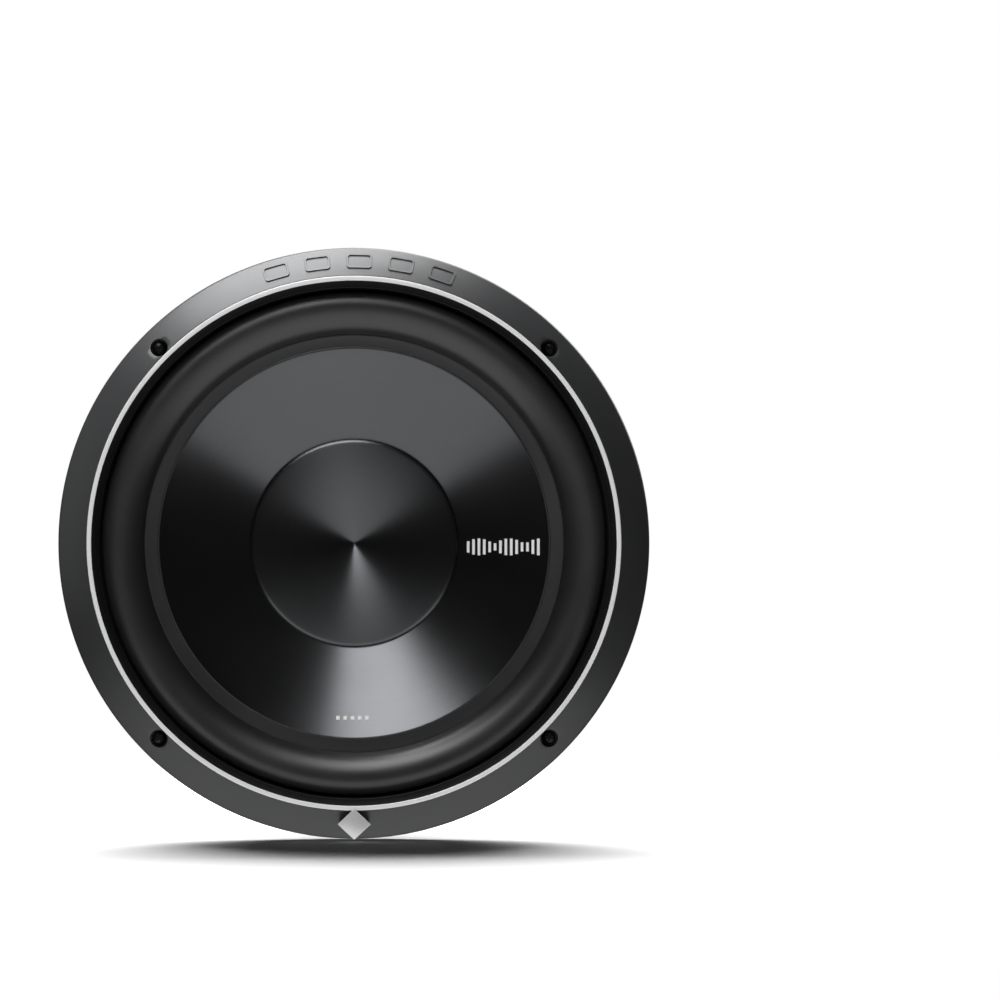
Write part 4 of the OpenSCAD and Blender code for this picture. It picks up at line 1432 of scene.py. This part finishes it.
def makeBasket():
    shell = makeBasketShell()
    step = 360 / basket["spokes"]
    high, low = basket["windowTop"], basket["windowLow"]
    window = roundCorners([
        (-windowHalf(high), high, basket["windowRound"]),
        (-windowHalf(low), low, basket["windowRound"]),
        (windowHalf(low), low, basket["windowRound"]),
        (windowHalf(high), high, basket["windowRound"]),
    ], steps=7)
    half = basket["ventWidth"] / 2
    vent = roundCorners([
        (-half, basket["ventTop"], basket["ventRound"]),
        (-half, basket["ventLow"], basket["ventRound"]),
        (half, basket["ventLow"], basket["ventRound"]),
        (half, basket["ventTop"], basket["ventRound"]),
    ], steps=5)
    for i in range(basket["spokes"]):
        for outline, inner, outer in (
            (window, basket["neck"] + 3 * mm, basket["spigot"] + mm),
            (vent, basket["neck"] - 5 * mm, basket["neck"] + mm),
        ):
            cutter = outwardCutter(outline, inner, outer)
            cutter.data.transform(turnAbout(i * step))
            combine(shell, cutter, "DIFFERENCE")
    for side in (0, 180):
        root, half = basket["tabRoot"], basket["tabHalf"]
        end = root + basket["tabLength"]
        tab = slab(
            "tab", roundCorners([(root, -half), (end, -half, 2 * mm), (end, half, 2 * mm), (root, half)]),
            low - basket["sheet"], low)
        tab.data.transform(turnAbout(side))
        combine(shell, tab, "UNION")
    bevelEdges(shell, basket["edge"], 2, 50)
    return shell


# A pressed rib down the middle of each spoke
def makeSpokeRibs():
    ribs = []
    high, low = basket["windowTop"] - 4 * mm, basket["windowLow"] + 5 * mm
    sink = basket["ribRadius"] * 0.62
    for i in range(basket["spokes"]):
        rib = rod(
            "rib", basket["ribRadius"],
            (skirtAt(low) - sink, -low, 0), (skirtAt(high) - sink, -high, 0), sides=24)
        bevelEdges(rib, basket["ribRadius"] * 0.8, 5, 60)
        rib.data.transform(turnAbout((i + 0.5) * 360 / basket["spokes"]))
        ribs.append(rib)
    return joinAll(ribs, "spokeRibs")


basketShell = makeBasket()
combine(basketShell, makeSpokeRibs(), "UNION")
smoothBy(basketShell, 30)
paint(basketShell, paints["powderCoat"])
place(basketShell, "frame", "basket_steel", "basket")
print("basket made")


# Gasket

gasket = {"inner": 140.6 * mm, "outer": 159.7 * mm, "round": 0.5 * mm, "hole": 3.2 * mm}
gasketTop = reach("mounting_gasket")[2]
foamGasket = turned("foamGasket", roundCorners([
    (gasket["outer"], 0, gasket["round"]),
    (gasket["outer"], gasketTop, gasket["round"]),
    (gasket["inner"], gasketTop, gasket["round"]),
    (gasket["inner"], 0, gasket["round"]),
]), steps=192)
for x, z in screwSpots:
    hole = bar("hole", gasket["hole"], x, z, -mm, 3 * mm, 32)
    combine(foamGasket, hole, "DIFFERENCE")
smoothBy(foamGasket, 40)
paint(foamGasket, paints["foamSkin"])
place(foamGasket, "frame", "foam", "mounting_gasket")


# Motor

bootR, bootBack, bootTop = reach("magnet_boot")
yokeR, yokeBack, yokeTop = reach("yoke")
plateR, plateBack, plateTop = reach("top_plate")
screenR, screenBack, screenTop = reach("vent_screen")
motor = {
    "magnet": 80 * mm,
    "plateBore": 34.3 * mm,
    "yokeFace": -161 * mm,       # back face of the yoke, without its raised middle
    "yokeFront": -148.05 * mm,
    "pole": 30.35 * mm,
    "bump": 41.8 * mm,
    "vent": 14 * mm,
    "screenSeat": 18.05 * mm,
    "grooves": (-114, -125, -136),
    "grooveDepth": 0.9 * mm,
    "grooveWidth": 2.2 * mm,
    "boltCircle": 60.15 * mm,
    "boltHead": 4.5 * mm,
    "boltHeadHeight": 2.4 * mm,
    "bolts": 8,
}


def makeBoot():
    inner = motor["magnet"] + 0.2 * mm
    hem = yokeR + 0.2 * mm
    wall = []
    for middle in motor["grooves"]:
        top = middle * mm + motor["grooveWidth"] / 2
        low = middle * mm - motor["grooveWidth"] / 2
        deep = bootR - motor["grooveDepth"]
        wall += [
            (bootR, top, 0.4 * mm),
            (deep, top, 0.3 * mm),
            (deep, low, 0.3 * mm),
            (bootR, low, 0.4 * mm),
        ]
    return turned("magnetBoot", roundCorners([
        (inner, bootTop, 0.5 * mm),
        (bootR - 2 * mm, bootTop, 1.2 * mm),
        (bootR, bootTop - 3 * mm, 1.5 * mm),
        *wall,
        (bootR, motor["yokeFront"] + 1.05 * mm, 2.5 * mm),
        (hem + 2.4 * mm, bootBack, 1 * mm),
        (hem, bootBack, 0.4 * mm),
        (hem, motor["yokeFront"] - 0.15 * mm),
        (inner, motor["yokeFront"] - 0.15 * mm),
    ], steps=5))


def makeYoke():
    return turned("yokePlate", roundCorners([
        (motor["vent"], yokeTop, 0.8 * mm),
        (motor["pole"] - 0.05 * mm, yokeTop, 0.8 * mm),
        (motor["pole"] - 0.05 * mm, motor["yokeFront"]),
        (yokeR, motor["yokeFront"], 0.3 * mm),
        (yokeR, motor["yokeFace"] + 3 * mm, 0.8 * mm),
        (yokeR - 3 * mm, motor["yokeFace"], 0.8 * mm),
        (motor["bump"] + 4 * mm, motor["yokeFace"], 1.2 * mm),
        (motor["bump"], yokeBack, 1.2 * mm),
        (motor["screenSeat"], yokeBack, 0.25 * mm),
        (motor["screenSeat"], yokeBack + 2 * mm),
        (motor["vent"], yokeBack + 2 * mm, 0.4 * mm),
    ]))


def makeTopPlate():
    return turned("topPlate", roundCorners([
        (motor["plateBore"], plateTop, 0.4 * mm),
        (plateR, plateTop, 0.7 * mm),
        (plateR, plateBack, 0.7 * mm),
        (motor["plateBore"], plateBack, 0.4 * mm),
    ]))


# Crossed wires in a thin rim
def makeVentScreen():
    deselectAll()
    bpy.ops.mesh.primitive_grid_add(
        x_subdivisions=26, y_subdivisions=26, size=2 * screenR,
        location=(0, -(screenBack + screenTop) / 2, 0), rotation=(math.radians(90), 0, 0))
    net = bpy.context.object
    net.name = "ventScreen"
    settle(net)
    workOn(net)
    for vertex in net.data.vertices:
        vertex.select = False
    for face in net.data.polygons:
        face.select = radial(face.center.x, face.center.z) > screenR - 0.7 * mm
    bpy.ops.object.mode_set(mode="EDIT")
    bpy.ops.mesh.select_mode(type="FACE")
    bpy.ops.mesh.delete(type="FACE")
    bpy.ops.object.mode_set(mode="OBJECT")
    applyModifier(net, "WIREFRAME", thickness=0.42 * mm, use_even_offset=True)
    rim = turned("screenRim", roundCorners([
        (screenR - 2.2 * mm, screenBack, 0.25 * mm),
        (screenR, screenBack, 0.25 * mm),
        (screenR, screenTop, 0.25 * mm),
        (screenR - 2.2 * mm, screenTop, 0.25 * mm),
    ]), steps=96)
    return joinAll([net, rim], "ventScreen")


def makeBolt():
    base = basket["seat"] + basket["sheet"] + 0.05 * mm
    top = base + motor["boltHeadHeight"]
    head = bar("bolt", motor["boltHead"], 0, 0, base, top, sides=6)
    bevelEdges(head, 0.35 * mm, 2, 70)
    washerTop = base + 0.7 * mm
    washer = turned("washer", roundCorners([
        (2 * mm, base), (5.2 * mm, base), (5.2 * mm, washerTop, 0.3 * mm), (2 * mm, washerTop)
    ]), steps=40)
    shank = bar("shank", 2.45 * mm, 0, 0, base - 9.8 * mm, base + mm, sides=24)
    bolt = joinAll([head, washer, shank], "bolt")
    smoothBy(bolt, 35)
    return bolt


magnetBoot = makeBoot()
smoothBy(magnetBoot, 35)
paint(magnetBoot, paints["bootRubber"])
place(magnetBoot, "frame", "boot_rubber", "magnet_boot")
yokePlate = makeYoke()
smoothBy(yokePlate, 30)
paint(yokePlate, paints["blackedSteel"])
place(yokePlate, "frame", "motor_steel", "yoke")
topPlate = makeTopPlate()
smoothBy(topPlate, 30)
paint(topPlate, paints["blackedSteel"])
place(topPlate, "frame", "motor_steel", "top_plate")
ventScreen = makeVentScreen()
paint(ventScreen, paints["screenWire"])
place(ventScreen, "frame", "screen_steel", "vent_screen")
firstBolt = makeBolt()
paint(firstBolt, paints["brightZinc"])
for i in range(motor["bolts"]):
    move = turnAbout((i + 0.5) * 360 / motor["bolts"]) @ Matrix.Translation((motor["boltCircle"], 0, 0))
    bolt = copyOf(firstBolt, "motorBolt" + str(i + 1), move)
    place(bolt, "frame", "zinc_bolt", "motor_bolts")
bpy.data.objects.remove(firstBolt, do_unlink=True)
print("motor made")


# Terminals

blockLow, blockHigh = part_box("terminal_block_right")
buttonLow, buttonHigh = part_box("button_right_upper")
springLow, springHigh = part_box("spring_right_upper")
terminal = {
    "round": 2 * mm,
    "edge": 0.5 * mm,
    "boreGap": 0.05 * mm,
    "wall": 2 * mm,
    "wireHole": 2.2 * mm,
    "wireFromFront": 5.75 * mm,
    "grooves": 5,
}
buttonR = (buttonHigh.z - buttonLow.z) / 2
buttonY = (buttonHigh.y + buttonLow.y) / 2
buttonZ = (buttonHigh.z + buttonLow.z) / 2
buttonLength = buttonHigh.x - buttonLow.x


def makeBlock():
    corners = [
        (blockLow.x, blockLow.z),
        (blockHigh.x, blockLow.z),
        (blockHigh.x, blockHigh.z),
        (blockLow.x, blockHigh.z),
    ]
    block = slab(
        "terminalBlock", roundCorners([(*c, terminal["round"]) for c in corners], 5),
        -blockHigh.y, -blockLow.y)
    # fine grooves along the back, to grip
    for i in range(terminal["grooves"]):
        x = blockLow.x + 5 * mm + i * 2.6 * mm
        groove = rod("groove", 0.5 * mm, (x, blockLow.y, -12 * mm), (x, blockLow.y, 12 * mm), 12)
        combine(block, groove, "DIFFERENCE")
    bevelEdges(block, terminal["edge"], 2, 60)
    for z in (-buttonZ, buttonZ):
        bore = rod(
            "bore", buttonR + terminal["boreGap"], (blockLow.x + terminal["wall"], buttonY, z),
            (blockHigh.x + 5 * mm, buttonY, z), 48)
        combine(block, bore, "DIFFERENCE")
        side = math.copysign(1, z)
        wire = rod(
            "wire", terminal["wireHole"], (wireX, buttonY, z),
            (wireX, buttonY, z + side * 30 * mm), 32)
        combine(block, wire, "DIFFERENCE")
    smoothBy(block, 32)
    return block


wireX = buttonLow.x + 2.25 * mm


# Drawn along the driver's axis, with its cap to the front
def makeButton():
    r, length = buttonR, buttonLength
    made = turned("button", [
        (0, length - 0.5 * mm),
        (2.6 * mm, length - 0.5 * mm),
        (3.1 * mm, length),
        *arc((r - 1 * mm, length - 1 * mm), (1 * mm, 1 * mm), 80, 0, 5),
        (r, length - 1.6 * mm),
        (r - 0.3 * mm, length - 1.8 * mm),
        (r - 0.3 * mm, length - 2.3 * mm),
        (r, length - 2.5 * mm),
        (r, 0.3 * mm),
        (r - 0.3 * mm, 0),
        (0, 0),
    ], steps=48, closed=False)
    hole = rod("hole", terminal["wireHole"], (0, -terminal["wireFromFront"], -8 * mm),
               (0, -terminal["wireFromFront"], 8 * mm), 32)
    combine(made, hole, "DIFFERENCE")
    bevelEdges(made, 0.12 * mm, 1, 50)
    smoothBy(made, 32)
    return made


springWire = 0.5 * mm
springR = (springHigh.z - springLow.z) / 2 - springWire
springTurns = 6


def makeSpring():
    length = springHigh.x - springLow.x
    section = arc((springR, springWire), (springWire, springWire), 0, 324, 9)
    return wound("spring", section, -(length - 2 * springWire) / springTurns, springTurns, 26)


route = {
    "steps": [
        (0, 0), (0.08, 0.5), (0.18, 2.4), (0.3, 4.9), (0.43, 6.2), (0.56, 5), (0.68, 2.8),
        (0.79, 1), (0.88, 0.2), (0.95, 0), (1, 0)
    ],
    "strands": 8,
    "twists": 9,
    "radius": 0.62 * mm,
    "wire": 0.26 * mm,
    "points": 150,
    "tabGap": 0.1 * mm,
    "formerGap": 0.4 * mm,      # from the former to the lead's middle
    "endSide": 7 * mm,          # sideways place of the soldered end
    "halfThick": 0.9 * mm,
}
tabLow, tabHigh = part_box("terminal_tabs_right")
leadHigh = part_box("lead_right_upper")[1]


# The lead's middle line, smoothed through its route, from the tab to the former
def leadLine():
    start = Vector((tabLow.x - route["tabGap"], (tabLow.y + tabHigh.y) / 2, buttonZ))
    endR = reach("former")[0] + route["formerGap"]
    endSide = route["endSide"]
    end = Vector((
        math.sqrt(endR ** 2 - endSide ** 2), leadHigh.y - route["halfThick"], endSide
    ))
    points = []
    for share, lift in route["steps"]:
        points.append(Vector((
            start.x + share * (end.x - start.x),
            start.y + share * (end.y - start.y) - lift * mm,
            start.z + share * share * (end.z - start.z),
        )))
    curve = bpy.data.curves.new("leadLine", "CURVE")
    curve.dimensions = "3D"
    curve.resolution_u = route["points"] // (len(points) - 1)
    spline = curve.splines.new("BEZIER")
    spline.bezier_points.add(len(points) - 1)
    for knot, point in zip(spline.bezier_points, points):
        knot.co = point
        knot.handle_left_type = knot.handle_right_type = "AUTO"
    holder = bpy.data.objects.new("leadLine", curve)
    scene.collection.objects.link(holder)
    mesh = holder.to_mesh()
    line = [vertex.co.copy() for vertex in mesh.vertices]
    holder.to_mesh_clear()
    bpy.data.objects.remove(holder, do_unlink=True)
    return line


# Fine strands wound both ways round the lead's line
def makeLead():
    line = leadLine()
    curve = bpy.data.curves.new("lead", "CURVE")
    curve.dimensions = "3D"
    curve.bevel_depth = route["wire"]
    curve.bevel_resolution = 1
    curve.use_fill_caps = True
    for strand in range(route["strands"]):
        way = 1 if strand % 2 else -1
        spline = curve.splines.new("POLY")
        spline.points.add(len(line) - 1)
        for i, point in enumerate(line):
            ahead = (line[min(i + 1, len(line) - 1)] - line[max(i - 1, 0)]).normalized()
            across = ahead.cross(Vector((0, 1, 0))).normalized()
            up = across.cross(ahead)
            share = i / (len(line) - 1)
            turn = way * math.tau * route["twists"] * share + math.tau * strand / route["strands"]
            weave = route["radius"] * (1 + 0.06 * way * math.cos(4 * turn))
            spot = point + weave * (math.cos(turn) * across + math.sin(turn) * up)
            spline.points[i].co = (*spot, 1)
    lead = bpy.data.objects.new("lead", curve)
    scene.collection.objects.link(lead)
    workOn(lead)
    bpy.ops.object.convert(target="MESH")
    lead = bpy.context.object
    smoothBy(lead, 60)
    return lead


block = makeBlock()
paint(block, paints["terminalPlastic"])
for sideName, turn in (("Right", 0), ("Left", 180)):
    piece = copyOf(block, "terminalBlock" + sideName, turnAbout(turn))
    place(piece, "frame", "terminal_plastic", "terminal_block_" + sideName.lower())
bpy.data.objects.remove(block, do_unlink=True)

firstButton, firstSpring, firstLead = makeButton(), makeSpring(), makeLead()
smoothBy(firstSpring, 60)
for sideName, side in (("Right", 1), ("Left", -1)):
    for rowName, row in (("Upper", 1), ("Lower", -1)):
        node = "_" + sideName.lower() + "_" + rowName.lower()
        lowCorner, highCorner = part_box("button" + node)
        middleZ = (lowCorner.z + highCorner.z) / 2
        root = lowCorner.x if side > 0 else highCorner.x
        spin = Matrix.Rotation(side * math.pi / 2, 4, "Z")
        button = copyOf(
            firstButton, "button" + sideName + rowName, Matrix.Translation((root, buttonY, middleZ)) @ spin)
        colour = "red" if rowName == "Upper" else "black"
        paint(button, paints[colour + "Button"])
        place(button, "button" + node, "button_" + colour, "button" + node)
        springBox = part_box("spring" + node)
        near = springBox[0].x if side > 0 else springBox[1].x
        far = springBox[1].x if side > 0 else springBox[0].x
        spring = copyOf(
            firstSpring, "spring" + sideName + rowName,
            Matrix.Translation((near, buttonY, middleZ)) @ spin)
        paint(spring, paints["springSteel"])
        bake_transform(spring, "frame", "button" + node, start=(near, 0, 0), end=(far, 0, 0))
        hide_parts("spring" + node)
        lead = copyOf(
            firstLead, "lead" + sideName + rowName,
            turnAbout(0 if side > 0 else 180) @ Matrix.Scale(side * row, 4, (0, 0, 1)))
        if side * row < 0:
            lead.data.flip_normals()
        paint(lead, paints["leadBraid"])
        blendByRadius(lead, "cone_assembly", tabLow.x - 2 * mm, reach("former")[0] + 3 * mm)
        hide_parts("lead" + node)
for first in (firstButton, firstSpring, firstLead):
    bpy.data.objects.remove(first, do_unlink=True)
print("terminals made")


# Finishes for the pieces that stay as they are

kept = {
    "former": "amberFilm",
    "winding_inner": "copperWire",
    "winding_outer": "copperWire",
    "former_collar": "blackPlasticAndThroatShade",
    "magnet_front": "ferrite",
    "magnet_rear": "ferrite",
    "shorting_sleeve": "turnedCopper",
    "terminal_tabs_right": "tinnedBrass",
    "terminal_tabs_left": "tinnedBrass",
    "terminal_screws": "brightZinc",
}
for node, finish in kept.items():
    paint(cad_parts[node], paints[finish])
